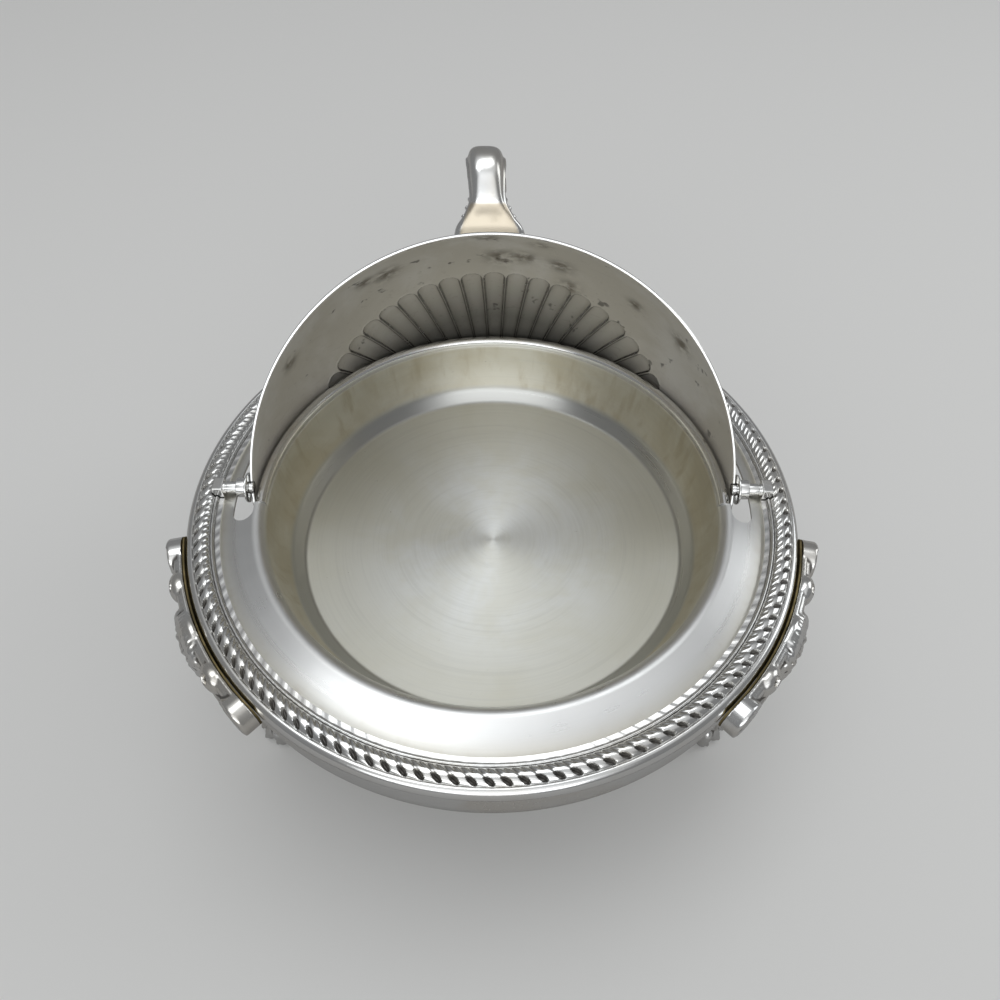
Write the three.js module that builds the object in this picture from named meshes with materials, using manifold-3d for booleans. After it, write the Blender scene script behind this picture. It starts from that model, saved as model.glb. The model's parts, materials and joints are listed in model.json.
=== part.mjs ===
// Roll top butter dish in plated metal: a spun tray with a well, a fluted cover that rolls back
// through a crescent slot under the well, a rope border, an apron and three cast lion legs.
// Millimetres, +Z up, the front at -Y. The origin is the centre of the well floor.
// Most heights below are written from the rim plane, the level of the well's upper edge.
import * as THREE from 'three';
import { mergeVertices } from 'three/addons/utils/BufferGeometryUtils.js';
import Module from 'manifold-3d';

const wasm = await Module();
wasm.setup();

// Clearances and sheet gauges
const FIT_GAP = 0.3; // between a soldered piece and its seat
const BORE_GAP = 0.3; // radial, pin in bore
const COVER_GAP = 0.8; // cover to the bead that it rolls round
const SLOT_GAP = 2.6; // flutes to the outer edge of the slot
const GROUND_GAP = 4.8; // lowest point of the cover to the table
const TRAY_GAUGE = 0.9;
const COVER_GAUGE = 0.8;
const APRON_GAUGE = 0.8;
const SEAT_GAUGE = 0.5;

// Well
const WELL_R = 60.3; // inside radius at the top
const WELL_DEPTH = 22.5;
const STEP_INSET = 4.4; // wall's lean, from the top of the well in to the step
const STEP_TOP_DEPTH = 16.4;
const STEP_WIDTH = 2.8;
const STEP_FOOT_DEPTH = 19.8;
const FLOOR_FLAT_R = 16;
const WALL_SWELL = 1.3; // how far the wall bulges past a straight cone
const LIP_ROUND = 1.9; // radius of the roll from flange to wall
const LIP_CREST = 0.5; // height of that roll over the rim plane

// Rear bead of the well
const BEAD_WIDTH = 2.4;
const BEAD_OVERHANG = 2.6; // how far the bead's outside lies beyond the well's inside
const BEAD_SEAT_DEPTH = 1.6;
const BEAD_TOP = 0.65;
const BEAD_END_ANGLE = 4;

// Flange, slot and border
const SLOT_END_ANGLE = 6.3; // the slot runs this far past the pivots, degrees
const RING_STRIP = 3; // flange left outside the slot
const DISH_RUN = 5.4; // from the lip's crest to the foot of its slope
const BORDER_WIDTH = 8.6;
const BORDER_SEAT_DEPTH = 1.6;
const BORDER_OVERHANG = 1.8; // border past the edge of the tray
const FILLET_RUN = 1.2; // runs are measured outward from the border's inner edge
const FILLET_RISE = 0.35;
const GROOVE_RUN = 2;
const GROOVE_DEPTH = 0.6;
const CREST_RUN = 3.8;
const CREST_RISE = 1.1;
const ROPE_LOBES = 132;
const LOBE_RUN = 5.4;
const LOBE_RISE = 0.8;
const NOTCH_DEPTH = 0.4;
const ROPE_SKEW = 3.2; // sideways lean of a lobe across the border
const EDGE_BEAD_RUN = 6.7;
const EDGE_BEAD_RISE = 0.3;
const EDGE_DROP = 0.8;

// Apron
const APRON_INSET = 0.4; // inside the border's edge
const APRON_DEPTH = 16.2;
const APRON_TUCK = 1.3; // how far the lower edge turns in
const APRON_LEDGE = 6;
const APRON_BEVEL = 0.7;

// Cover
const COVER_OPEN = 123.8; // how far the cover is rolled back from closed, degrees
const PIVOT_RISE = 1; // pivot line over the rim plane
const FLUTES = 50;
const FLUTE_RISE = 1.3;
const FLUTE_OUTER_ANGLE = 58.5; // from the pole, degrees
const FLUTE_INNER_ANGLE = 14;
const FLUTE_END_RUN = 3.5; // degrees over which a flute dies out
const EAR_R = 4;
const EAR_GAUGE = 0.9;
const COLLAR_R = 2.4;
const COLLAR_LENGTH = 2.4;

// Pivots
const PIN_R = 1.4;
const PIN_SHOULDER_R = 1.6; // from the collar to the post
const PIN_TAIL_R = 1;
const PIN_TAIL = 2;
const POST_LENGTH = 2.7;
const POST_WIDTH = 4.3;
const POST_RISE = 1.8; // over the pivot line
const POST_CHAMFER = 0.5;

// Handle, measured from the cover's surface outward and from its edge upward
const HANDLE_REACH = 21;
const HANDLE_FOOT_WIDTH = 16.8;
const HANDLE_BAR_WIDTH = 9.4;
const HANDLE_EYE_WIDTH = 10.2;
const HANDLE_CROWN = 3; // bulge of the bar's lower face, which the curl carries outward
const HANDLE_BACK = 1.2; // rise of its upper face
const HANDLE_EYE = 4.6;
const HANDLE_RISE = 19; // top of the curl over the cover's edge
const HANDLE_FOOT_RISE = 5.6;

// Legs
const LEG_ANGLES = { left: -150, right: -30, rear: 90 };
const SHOULDER_HALF = 29; // half length of the shoulder, along the border
const SHOULDER_DEEP = 2.8;
const SHOULDER_SPARE = 1; // cut away where the casting is bored to its seat
const VOLUTE_R = 5.4;
const VOLUTE_DEEP = 3.5;
const VOLUTE_TOP = 0.3;
const VOLUTE_ROUND = 0.9;
const BAND_DROP = 0.9; // the shoulder's upper edge under the top of the volutes
const NECK_AT = 17; // where the shoulder is narrowest, along the border
const NECK_DEPTH = 7.2;
const KNEE_DEPTH = 22; // foot of the bracket under the mask
const EYE_AT = 14.2;
const EYE_DEPTH = 4.2;
const EYE_R = 1.5;
const MASK_DEPTH = 8.6; // centre of the mask under the rim plane
const MASK_HALF_WIDTH = 9.4;
const MASK_HALF_HEIGHT = 10.6;
const MASK_REACH = 6; // nose beyond the shoulder's back
const PAW_HEIGHT = 9;
const PAW_R = 75.6; // centre of the paw from the dish's axis
const PAW_HALF_WIDTH = 7;
const ANKLE_HEIGHT = 16;
const ANKLE_R = 74.6;
const ANKLE_HALF_WIDTH = 3.9;
const TOES = 4;

// What follows from the sizes above
const STEP_TOP_R = WELL_R - STEP_INSET;
const STEP_FOOT_R = STEP_TOP_R - STEP_WIDTH;
const BEAD_R = WELL_R + BEAD_OVERHANG;
const COVER_IN = BEAD_R + COVER_GAP;
const COVER_OUT = COVER_IN + COVER_GAUGE;
const SLOT_R = COVER_OUT + FLUTE_RISE + SLOT_GAP;
const BORDER_IN = SLOT_R + RING_STRIP;
const BORDER_R = BORDER_IN + BORDER_WIDTH;
const TRAY_R = BORDER_R - BORDER_OVERHANG;
const TRAY_UNDERSIDE = -BORDER_SEAT_DEPTH - TRAY_GAUGE;
const APRON_R = BORDER_R - APRON_INSET;
const SEAT_R = BORDER_R + FIT_GAP;
const LEG_R = SEAT_R + SEAT_GAUGE + FIT_GAP;
const GROUND = PIVOT_RISE - COVER_OUT - FLUTE_RISE - GROUND_GAP;
const EAR_X = COVER_OUT + FIT_GAP;
const COLLAR_X = EAR_X + EAR_GAUGE + FIT_GAP;
const VOLUTE_AT = SHOULDER_HALF - VOLUTE_R;
const VOLUTE_Z = VOLUTE_TOP - VOLUTE_R;
const BORE_R = PIN_R + BORE_GAP;

// Facets
const TURN_STEPS = 48;
const ROUND_STEPS = 16;
const ARC_STEP = 5; // degrees

const SILVER = new THREE.MeshStandardMaterial({ color: 0xcfd0cf, metalness: 1, roughness: 0.2 });
const SATIN = new THREE.MeshStandardMaterial({ color: 0xb5b1a4, metalness: 1, roughness: 0.42 });
const BRASS = new THREE.MeshStandardMaterial({ color: 0x9a8750, metalness: 1, roughness: 0.35 });

const rad = THREE.MathUtils.degToRad;

// Geometry helpers

function signedVolume(geometry) {
  const { position } = geometry.attributes;
  const [a, b, c] = [new THREE.Vector3(), new THREE.Vector3(), new THREE.Vector3()];
  let sum = 0;
  for (let i = 0; i < geometry.index.count; i += 3) {
    a.fromBufferAttribute(position, geometry.index.getX(i));
    b.fromBufferAttribute(position, geometry.index.getX(i + 1));
    c.fromBufferAttribute(position, geometry.index.getX(i + 2));
    sum += a.dot(b.cross(c)) / 6;
  }
  return sum;
}

// One closed mesh: shared corners, no flat triangles, faces pointing out.
function closed(geometry) {
  const bare = geometry.clone();
  bare.deleteAttribute('normal');
  bare.deleteAttribute('uv');
  const merged = mergeVertices(bare, 1e-4);
  const faces = [];
  for (let i = 0; i < merged.index.count; i += 3) {
    const corners = [0, 1, 2].map((k) => merged.index.getX(i + k));
    if (new Set(corners).size === 3) faces.push(corners);
  }
  merged.setIndex(faces.flat());
  if (signedVolume(merged) < 0) merged.setIndex(faces.flatMap(([a, b, c]) => [a, c, b]));
  return merged;
}

function solid(geometry) {
  const { attributes, index } = closed(geometry);
  return new wasm.Manifold(
    new wasm.Mesh({
      numProp: 3,
      vertProperties: new Float32Array(attributes.position.array),
      triVerts: new Uint32Array(index.array),
    }),
  );
}

function shape(body) {
  const mesh = body.getMesh();
  const geometry = new THREE.BufferGeometry();
  geometry.setAttribute('position', new THREE.BufferAttribute(mesh.vertProperties, 3));
  geometry.setIndex(new THREE.BufferAttribute(mesh.triVerts, 1));
  return geometry;
}

function cut(geometry, ...tools) {
  return shape(tools.reduce((body, tool) => body.subtract(solid(tool)), solid(geometry)));
}

function join(...geometries) {
  return shape(geometries.map(solid).reduce((body, next) => body.add(next)));
}

// A skin over rings of equal count. A loop joins the last ring to the first; otherwise the two
// end rings are closed by flat fans.
function loft(rings, loop = false) {
  const count = rings[0].length;
  const points = rings.flat();
  const faces = [];
  const bands = loop ? rings.length : rings.length - 1;
  for (let i = 0; i < bands; i++) {
    const here = i * count;
    const next = ((i + 1) % rings.length) * count;
    for (let j = 0; j < count; j++) {
      const k = (j + 1) % count;
      faces.push(here + j, here + k, next + k, here + j, next + k, next + j);
    }
  }
  if (!loop) {
    const last = (rings.length - 1) * count;
    const hubs = [rings[0], rings.at(-1)].map((ring) => {
      const centre = ring.reduce((sum, p) => sum.add(p), new THREE.Vector3());
      return points.push(centre.divideScalar(count)) - 1;
    });
    for (let j = 0; j < count; j++) {
      const k = (j + 1) % count;
      faces.push(hubs[0], k, j, hubs[1], last + j, last + k);
    }
  }
  return new THREE.BufferGeometry().setFromPoints(points).setIndex(faces);
}

// A revolved solid about Z from [radius, height] pairs.
function spun(profile, steps = TURN_STEPS) {
  const points = profile.map(([r, z]) => new THREE.Vector2(r, z));
  const onAxis = points[0].x === 0 && points.at(-1).x === 0;
  if (!onAxis) points.push(points[0].clone());
  return new THREE.LatheGeometry(points, steps).rotateX(Math.PI / 2);
}

// A turned piece along X, from [x, radius] pairs, for the right-hand side of the dish.
function turned(profile, steps = ROUND_STEPS) {
  return spun(profile.map(([x, r]) => [r, x]), steps).rotateY(Math.PI / 2);
}

// A sheet-metal section: a line of [radius, height] points and its copy, one gauge to the left.
function sheet(line, gauge) {
  const normals = line.slice(1).map(([r, z], i) => {
    const step = new THREE.Vector2(r - line[i][0], z - line[i][1]).normalize();
    return new THREE.Vector2(-step.y, step.x);
  });
  const back = line.map(([r, z], i) => {
    const before = normals[Math.max(i - 1, 0)];
    const after = normals[Math.min(i, normals.length - 1)];
    const mitre = before.clone().add(after).normalize();
    const reach = gauge / mitre.dot(after);
    return [r + mitre.x * reach, z + mitre.y * reach];
  });
  return [...line, ...back.reverse()];
}

function arc(r, from, to, steps, cx = 0, cy = 0) {
  return Array.from({ length: steps + 1 }, (_, i) => {
    const angle = from + ((to - from) * i) / steps;
    return [cx + r * Math.cos(angle), cy + r * Math.sin(angle)];
  });
}

function slab(outline, low, high) {
  const flat = new THREE.Shape(outline.map(([x, y]) => new THREE.Vector2(x, y)));
  const geometry = new THREE.ExtrudeGeometry(flat, { depth: high - low, bevelEnabled: false });
  return geometry.translate(0, 0, low);
}

function around(r, azimuth, z) {
  return new THREE.Vector3(r * Math.cos(azimuth), r * Math.sin(azimuth), z);
}

const smooth = (x) => THREE.MathUtils.smoothstep(x, 0, 1);

// Tray: flange, rolled lip, well wall, step and floor from one sheet

function trayLine() {
  const lipR = WELL_R + LIP_ROUND;
  const lipZ = LIP_CREST - LIP_ROUND;
  const dishR = lipR + DISH_RUN;
  const wall = [(WELL_R + STEP_TOP_R) / 2 + WALL_SWELL, (lipZ - STEP_TOP_DEPTH) / 2];
  return [
    [TRAY_R, -BORDER_SEAT_DEPTH],
    [dishR, -BORDER_SEAT_DEPTH],
    ...arc(LIP_ROUND, Math.PI / 3, Math.PI, 3, lipR, lipZ),
    wall,
    [STEP_TOP_R, -STEP_TOP_DEPTH],
    [STEP_FOOT_R, -STEP_FOOT_DEPTH],
    [(STEP_FOOT_R + FLOOR_FLAT_R) / 2, -(STEP_FOOT_DEPTH + WELL_DEPTH * 2) / 3],
    [FLOOR_FLAT_R, -WELL_DEPTH],
    [0, -WELL_DEPTH],
  ];
}

// The crescent behind the well, with round ends in front of the pivots.
function slotOutline() {
  const end = rad(SLOT_END_ANGLE);
  const middle = (SLOT_R + BEAD_R) / 2;
  const half = (SLOT_R - BEAD_R) / 2;
  const steps = Math.round((180 + 2 * SLOT_END_ANGLE) / ARC_STEP);
  const [leftX, leftY] = [middle * Math.cos(Math.PI + end), middle * Math.sin(Math.PI + end)];
  const roundEnd = arc(half, Math.PI + end, 2 * Math.PI + end, 6, leftX, leftY);
  const mirrored = roundEnd.map(([x, y]) => [-x, y]).reverse();
  return [
    ...arc(SLOT_R, -end, Math.PI + end, steps),
    ...roundEnd.slice(1, -1),
    ...arc(BEAD_R, Math.PI + end, -end, steps),
    ...mirrored.slice(1, -1),
  ];
}

function tray() {
  const end = rad(BEAD_END_ANGLE);
  const steps = Math.round((180 + 2 * BEAD_END_ANGLE) / ARC_STEP);
  const seat = [
    ...arc(BEAD_R + FIT_GAP, -end, Math.PI + end, steps),
    ...arc(WELL_R - 2, Math.PI + end, -end, steps),
  ];
  const over = LIP_CREST + TRAY_GAUGE;
  return cut(
    spun(sheet(trayLine(), TRAY_GAUGE)),
    slab(slotOutline(), 2 * TRAY_UNDERSIDE, over),
    slab(seat, -BEAD_SEAT_DEPTH, over),
  );
}

function wellBead() {
  const end = BEAD_END_ANGLE - THREE.MathUtils.radToDeg(FIT_GAP / BEAD_R);
  const steps = Math.round((180 + 2 * end) / ARC_STEP);
  const inner = BEAD_R - BEAD_WIDTH;
  const round = BEAD_WIDTH / 4;
  const section = [
    [inner, -BEAD_SEAT_DEPTH],
    [BEAD_R - round, -BEAD_SEAT_DEPTH],
    [BEAD_R, -BEAD_SEAT_DEPTH + round],
    [BEAD_R, BEAD_TOP - round],
    [BEAD_R - round, BEAD_TOP],
    [inner + round, BEAD_TOP],
    [inner, BEAD_TOP - round],
  ];
  const rings = Array.from({ length: steps + 1 }, (_, i) => {
    const azimuth = rad(-end + ((180 + 2 * end) * i) / steps);
    return section.map(([r, z]) => around(r, azimuth, z));
  });
  return loft(rings);
}

// Border: fillet, groove, slanted lobes and edge bead in one applied ring

function ropeBorder() {
  const columns = 2 * ROPE_LOBES;
  const crestR = BORDER_IN + CREST_RUN;
  const rings = Array.from({ length: columns }, (_, i) => {
    const section = [
      [BORDER_IN, -BORDER_SEAT_DEPTH],
      [BORDER_IN + FILLET_RUN, FILLET_RISE],
      [BORDER_IN + GROOVE_RUN, -GROOVE_DEPTH],
      [crestR, CREST_RISE],
      [BORDER_IN + LOBE_RUN, i % 2 ? -NOTCH_DEPTH : LOBE_RISE],
      [BORDER_IN + EDGE_BEAD_RUN, EDGE_BEAD_RISE],
      [BORDER_R, -EDGE_DROP],
      [TRAY_R + FIT_GAP, -BORDER_SEAT_DEPTH],
    ];
    return section.map(([r, z]) => {
      const lean = (ROPE_SKEW * (r - crestR)) / BORDER_WIDTH / crestR;
      return around(r, (2 * Math.PI * i) / columns + lean, z);
    });
  });
  const halfWidth = POST_WIDTH / 2 + FIT_GAP;
  const notch = [
    [BORDER_IN - BORDER_WIDTH / 2, -halfWidth],
    [BORDER_IN + POST_LENGTH + FIT_GAP, -halfWidth],
    [BORDER_IN + POST_LENGTH + FIT_GAP, halfWidth],
    [BORDER_IN - BORDER_WIDTH / 2, halfWidth],
  ];
  const depth = BORDER_SEAT_DEPTH + CREST_RISE;
  const right = slab(notch, -depth, depth);
  return cut(loft(rings, true), right, right.clone().rotateZ(Math.PI));
}

function apron() {
  const line = [
    [APRON_R - APRON_LEDGE, TRAY_UNDERSIDE],
    [APRON_R - APRON_BEVEL, TRAY_UNDERSIDE],
    [APRON_R, TRAY_UNDERSIDE - APRON_BEVEL],
    [APRON_R, -APRON_DEPTH * 0.7],
    [APRON_R - APRON_TUCK, -APRON_DEPTH],
  ];
  return spun(sheet(line, -APRON_GAUGE));
}

// Pivots, drawn for the right-hand side with the pivot line as X

function pivotPost() {
  const low = -BORDER_SEAT_DEPTH - PIVOT_RISE;
  const half = POST_WIDTH / 2;
  const outline = [
    [-half, low],
    [half, low],
    [half, POST_RISE - POST_CHAMFER],
    [half - POST_CHAMFER, POST_RISE],
    [POST_CHAMFER - half, POST_RISE],
    [-half, POST_RISE - POST_CHAMFER],
  ];
  const block = slab(outline, 0, POST_LENGTH).rotateX(Math.PI / 2).rotateZ(Math.PI / 2);
  const bore = turned([
    [-1, 0],
    [-1, PIN_TAIL_R + BORE_GAP],
    [POST_LENGTH + 1, PIN_TAIL_R + BORE_GAP],
    [POST_LENGTH + 1, 0],
  ], 12);
  return cut(block, bore).translate(BORDER_IN, 0, 0);
}

function pivotPin() {
  const shoulder = COLLAR_X + COLLAR_LENGTH + FIT_GAP;
  return turned([
    [BEAD_R + FIT_GAP * 2, 0],
    [BEAD_R + FIT_GAP * 2, PIN_R],
    [shoulder, PIN_R],
    [shoulder, PIN_SHOULDER_R],
    [BORDER_IN, PIN_SHOULDER_R],
    [BORDER_IN, PIN_TAIL_R],
    [BORDER_IN + PIN_TAIL, PIN_TAIL_R],
    [BORDER_IN + PIN_TAIL, 0],
  ]);
}

// Cover, drawn closed, with its pole along +Z and the pivot line as X

// Columns run pole to edge, by turns along the middle of a flute and the ridge beside it.
function coverDome() {
  const columns = 2 * FLUTES;
  const start = FLUTE_INNER_ANGLE + FLUTE_END_RUN;
  const finish = FLUTE_OUTER_ANGLE - FLUTE_END_RUN;
  const body = [start, (2 * start + finish) / 3, (start + 2 * finish) / 3, finish];
  const rings = Array.from({ length: columns }, (_, i) => {
    const azimuth = -Math.PI / 2 + (2 * Math.PI * i) / columns;
    const ridge = i % 2 === 1;
    const rise = ridge ? 0 : FLUTE_RISE;
    const early = ridge ? FLUTE_END_RUN * 0.8 : 0;
    const rows = [
      { polar: 0, rise: 0 },
      { polar: FLUTE_INNER_ANGLE, rise: 0 },
      ...body.map((polar) => ({ polar, rise })),
      { polar: FLUTE_OUTER_ANGLE - early, rise: 0 },
      { polar: (FLUTE_OUTER_ANGLE * 2 + 90) / 3, rise: 0 },
      { polar: (FLUTE_OUTER_ANGLE + 90 * 2) / 3, rise: 0 },
      { polar: 90, rise: 0 },
    ];
    const side = (base) => rows.map(({ polar, rise }) => {
      const r = base + rise;
      return around(r * Math.sin(rad(polar)), azimuth, r * Math.cos(rad(polar)));
    });
    return [...side(COVER_OUT), ...side(COVER_IN).reverse()];
  });
  const hole = turned([
    [COVER_IN - 5, 0],
    [COVER_IN - 5, BORE_R],
    [COVER_OUT + 5, BORE_R],
    [COVER_OUT + 5, 0],
  ], 16);
  return cut(loft(rings, true), hole, hole.clone().rotateZ(Math.PI));
}

function ring(from, length, r) {
  return turned([
    [from, BORE_R],
    [from, r],
    [from + length, r],
    [from + length, BORE_R],
  ]);
}

// The handle stands at the front of the closed cover: out from the edge, then curling up.
function handle() {
  const out = COVER_OUT + HANDLE_REACH - HANDLE_CROWN;
  const top = HANDLE_RISE - HANDLE_CROWN;
  const eyeR = HANDLE_EYE / 2;
  const stations = [
    { out: COVER_OUT - 3, up: HANDLE_FOOT_RISE + 1.6, wide: HANDLE_FOOT_WIDTH * 1.1, swell: 2.2 },
    { out: COVER_OUT + 1, up: HANDLE_FOOT_RISE + 0.4, wide: HANDLE_FOOT_WIDTH, swell: 1.6 },
    { out: COVER_OUT + 4, up: HANDLE_FOOT_RISE, wide: HANDLE_FOOT_WIDTH * 0.8, swell: 1.1 },
    { out: COVER_OUT + 8, up: HANDLE_FOOT_RISE, wide: HANDLE_BAR_WIDTH, swell: 1 },
    { out: out - 4, up: HANDLE_FOOT_RISE + 1.2, wide: HANDLE_BAR_WIDTH, swell: 1 },
    { out: out - 1, up: HANDLE_FOOT_RISE + 3.6, wide: HANDLE_BAR_WIDTH, swell: 1 },
    { out, up: HANDLE_FOOT_RISE + 7, wide: HANDLE_BAR_WIDTH, swell: 1 },
    { out: out - 1.6, up: top - 1, wide: HANDLE_BAR_WIDTH, swell: 1 },
    { out: out - 4.6, up: top, wide: HANDLE_EYE_WIDTH, swell: 0.9 },
  ];
  const rings = stations.map(({ out: y, up: z, wide, swell }, i) => {
    const before = stations[Math.max(i - 1, 0)];
    const after = stations[Math.min(i + 1, stations.length - 1)];
    const along = new THREE.Vector2(after.out - before.out, after.up - before.up).normalize();
    const across = new THREE.Vector2(-along.y, along.x);
    return arc(1, Math.PI / 8, Math.PI * 1.875, 7).map(([u, v]) => {
      const x = (Math.sign(u) * Math.abs(u) ** 0.7 * wide) / 2;
      const n = v * swell * (v < 0 ? HANDLE_CROWN : HANDLE_BACK);
      return new THREE.Vector3(x, -(y + across.x * n), z + across.y * n);
    });
  });
  const eye = turned([
    [-HANDLE_EYE_WIDTH / 2 - 0.5, 0],
    [-HANDLE_EYE_WIDTH / 2 - 0.5, eyeR * 0.7],
    [-HANDLE_EYE_WIDTH / 2, eyeR],
    [HANDLE_EYE_WIDTH / 2, eyeR],
    [HANDLE_EYE_WIDTH / 2 + 0.5, eyeR * 0.7],
    [HANDLE_EYE_WIDTH / 2 + 0.5, 0],
  ], 12).translate(0, -(out - 5.6), top - 0.6);
  const bed = new THREE.SphereGeometry(COVER_OUT + FIT_GAP, 96, 48);
  return cut(join(loft(rings), eye), bed);
}

// Legs, drawn at azimuth zero, so X is outward and Y runs along the border

// Lower and upper edge of the shoulder bracket at a distance along the border.
function bracket(along) {
  const s = Math.abs(along);
  const top = VOLUTE_TOP - BAND_DROP;
  const half = Math.sqrt(Math.max(VOLUTE_R ** 2 - Math.max(s - VOLUTE_AT, 0) ** 2, 0.25));
  if (s > VOLUTE_AT) return [VOLUTE_Z - half, Math.min(VOLUTE_Z + half, top)];
  const knee = NECK_DEPTH + (KNEE_DEPTH - NECK_DEPTH) * smooth(1 - s / NECK_AT);
  const roll = NECK_DEPTH + (2 * VOLUTE_R - VOLUTE_TOP - BAND_DROP - NECK_DEPTH)
    * smooth((s - NECK_AT) / (VOLUTE_AT - NECK_AT));
  return [-(s < NECK_AT ? knee : roll), top];
}

// Places along the border from one end to the other, closer together towards both ends.
function bracketSteps(reach) {
  const half = [0, 0.2, 0.4, 0.58, 0.7, 0.81, 0.9, 0.96, 1];
  return [...half.slice(1).reverse().map((x) => -x), ...half].map((x) => x * reach);
}

function shoulder() {
  const rings = bracketSteps(VOLUTE_AT).map((along) => {
    const [low, high] = bracket(along);
    const round = Math.min(1.2, (high - low) / 3);
    const section = [
      [LEG_R - SHOULDER_SPARE, low],
      [LEG_R + SHOULDER_DEEP - round, low],
      [LEG_R + SHOULDER_DEEP, low + round],
      [LEG_R + SHOULDER_DEEP, high - round],
      [LEG_R + SHOULDER_DEEP - round, high],
      [LEG_R - SHOULDER_SPARE, high],
    ];
    return section.map(([r, z]) => around(r, along / LEG_R, z));
  });
  return loft(rings);
}

// The rolled end of the shoulder: a drum that stands a little proud of it.
function volute(side) {
  const face = LEG_R + VOLUTE_DEEP;
  const drum = turned([
    [LEG_R - SHOULDER_SPARE, 0],
    [LEG_R - SHOULDER_SPARE, VOLUTE_R],
    [face - VOLUTE_ROUND, VOLUTE_R],
    [face, VOLUTE_R - VOLUTE_ROUND],
    [face, 0],
  ]);
  return drum.translate(0, 0, VOLUTE_Z).rotateZ((side * VOLUTE_AT) / LEG_R);
}

function legSeat() {
  const rings = bracketSteps(SHOULDER_HALF).map((along) => {
    const [low, high] = bracket(along);
    const foot = Math.max(low, -APRON_DEPTH + FIT_GAP);
    const section = [
      [SEAT_R, foot],
      [SEAT_R + SEAT_GAUGE, foot],
      [SEAT_R + SEAT_GAUGE, high],
      [SEAT_R, high],
    ];
    return section.map(([r, z]) => around(r, along / LEG_R, z));
  });
  return loft(rings);
}

function ellipsoid(r, along, z, deep, wide, high, steps = 7) {
  return new THREE.SphereGeometry(1, steps, Math.round(steps * 0.7))
    .rotateX(Math.PI / 2)
    .scale(deep, wide, high)
    .translate(r, along, z);
}

function mask() {
  const back = LEG_R + 1.6;
  const nose = LEG_R + MASK_REACH;
  const [w, h, z] = [MASK_HALF_WIDTH, MASK_HALF_HEIGHT, -MASK_DEPTH];
  return [
    ellipsoid(back, 0, z, 2.6, w, h, 10),
    ellipsoid(back + 1.2, 0, z, 2.8, w * 0.66, h * 0.72, 9),
    ellipsoid(nose - 2.2, 0, z - h * 0.28, 2.2, w * 0.36, h * 0.28),
    ellipsoid(nose - 2.4, 0, z + h * 0.3, 1.5, w * 0.5, h * 0.16, 6),
    ellipsoid(nose - 3, 0, z - h * 0.66, 1.7, w * 0.26, h * 0.18, 6),
    ellipsoid(back + 1.4, -w * 0.7, z + h * 0.62, 1.4, w * 0.2, h * 0.2, 5),
    ellipsoid(back + 1.4, w * 0.7, z + h * 0.62, 1.4, w * 0.2, h * 0.2, 5),
  ];
}

// Cabriole leg from the mask down to the paw, in level sections.
function shank() {
  const knee = LEG_R + SHOULDER_DEEP / 2;
  const stations = [
    { r: knee, z: -MASK_DEPTH, deep: 2.2, wide: MASK_HALF_WIDTH * 0.8 },
    { r: knee, z: -KNEE_DEPTH + 2, deep: 3.4, wide: MASK_HALF_WIDTH * 0.72 },
    { r: knee - 2.4, z: -KNEE_DEPTH - 9, deep: 3.5, wide: MASK_HALF_WIDTH * 0.56 },
    { r: (knee + ANKLE_R) / 2 - 1, z: (GROUND + ANKLE_HEIGHT - KNEE_DEPTH - 9) / 2 - 1,
      deep: 3.2, wide: ANKLE_HALF_WIDTH * 1.12 },
    { r: ANKLE_R, z: GROUND + ANKLE_HEIGHT, deep: 2.9, wide: ANKLE_HALF_WIDTH },
    { r: PAW_R - 0.6, z: GROUND + PAW_HEIGHT, deep: 4, wide: PAW_HALF_WIDTH * 0.76 },
    { r: PAW_R - 0.6, z: GROUND + PAW_HEIGHT * 0.5, deep: 4.8, wide: PAW_HALF_WIDTH * 0.94 },
    { r: PAW_R - 0.6, z: GROUND, deep: 4.6, wide: PAW_HALF_WIDTH * 0.9 },
  ];
  const rings = stations.map(({ r, z, deep, wide }) =>
    arc(1, 0, Math.PI * 1.75, 7).map(
      ([u, v]) => new THREE.Vector3(r + u * deep, v * wide, z),
    ));
  return loft(rings);
}

function toes() {
  const pitch = (2 * PAW_HALF_WIDTH) / TOES;
  return Array.from({ length: TOES }, (_, i) => {
    const along = (i - (TOES - 1) / 2) * pitch;
    const r = PAW_R + 2.6 - 0.09 * along ** 2;
    return ellipsoid(r, along, GROUND + 2.3, 2.6, pitch * 0.56, 3.1, 6);
  });
}

function leg() {
  const apronSpace = spun([
    [0, -APRON_DEPTH - FIT_GAP * 3],
    [LEG_R, -APRON_DEPTH - FIT_GAP * 3],
    [LEG_R, LEG_R / 2],
    [0, LEG_R / 2],
  ], TURN_STEPS * 1.5);
  const ground = slab([
    [ANKLE_R / 2, -ANKLE_R],
    [2 * LEG_R, -ANKLE_R],
    [2 * LEG_R, ANKLE_R],
    [ANKLE_R / 2, ANKLE_R],
  ], GROUND - ANKLE_HEIGHT, GROUND);
  const eyes = [-EYE_AT, EYE_AT].map((along) => {
    const drill = turned([[0, 0], [0, EYE_R], [6, EYE_R], [6, 0]], 8);
    return drill.translate(LEG_R + SHOULDER_DEEP - 1.4, 0, -EYE_DEPTH).rotateZ(along / LEG_R);
  });
  const casting = join(shoulder(), volute(-1), volute(1), shank(), ...mask(), ...toes());
  return cut(casting, apronSpace, ground, ...eyes);
}

// Assembly

function piece(name, geometry, material) {
  const mesh = new THREE.Mesh(closed(geometry), material);
  mesh.name = name;
  return mesh;
}

// The same turned piece on the right, as drawn, and on the left, turned half way round Z.
function pair(name, geometry, material) {
  const right = piece(`${name}_right`, geometry, material);
  const left = piece(`${name}_left`, geometry.clone(), material);
  left.rotation.z = Math.PI;
  return [left, right];
}

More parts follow.
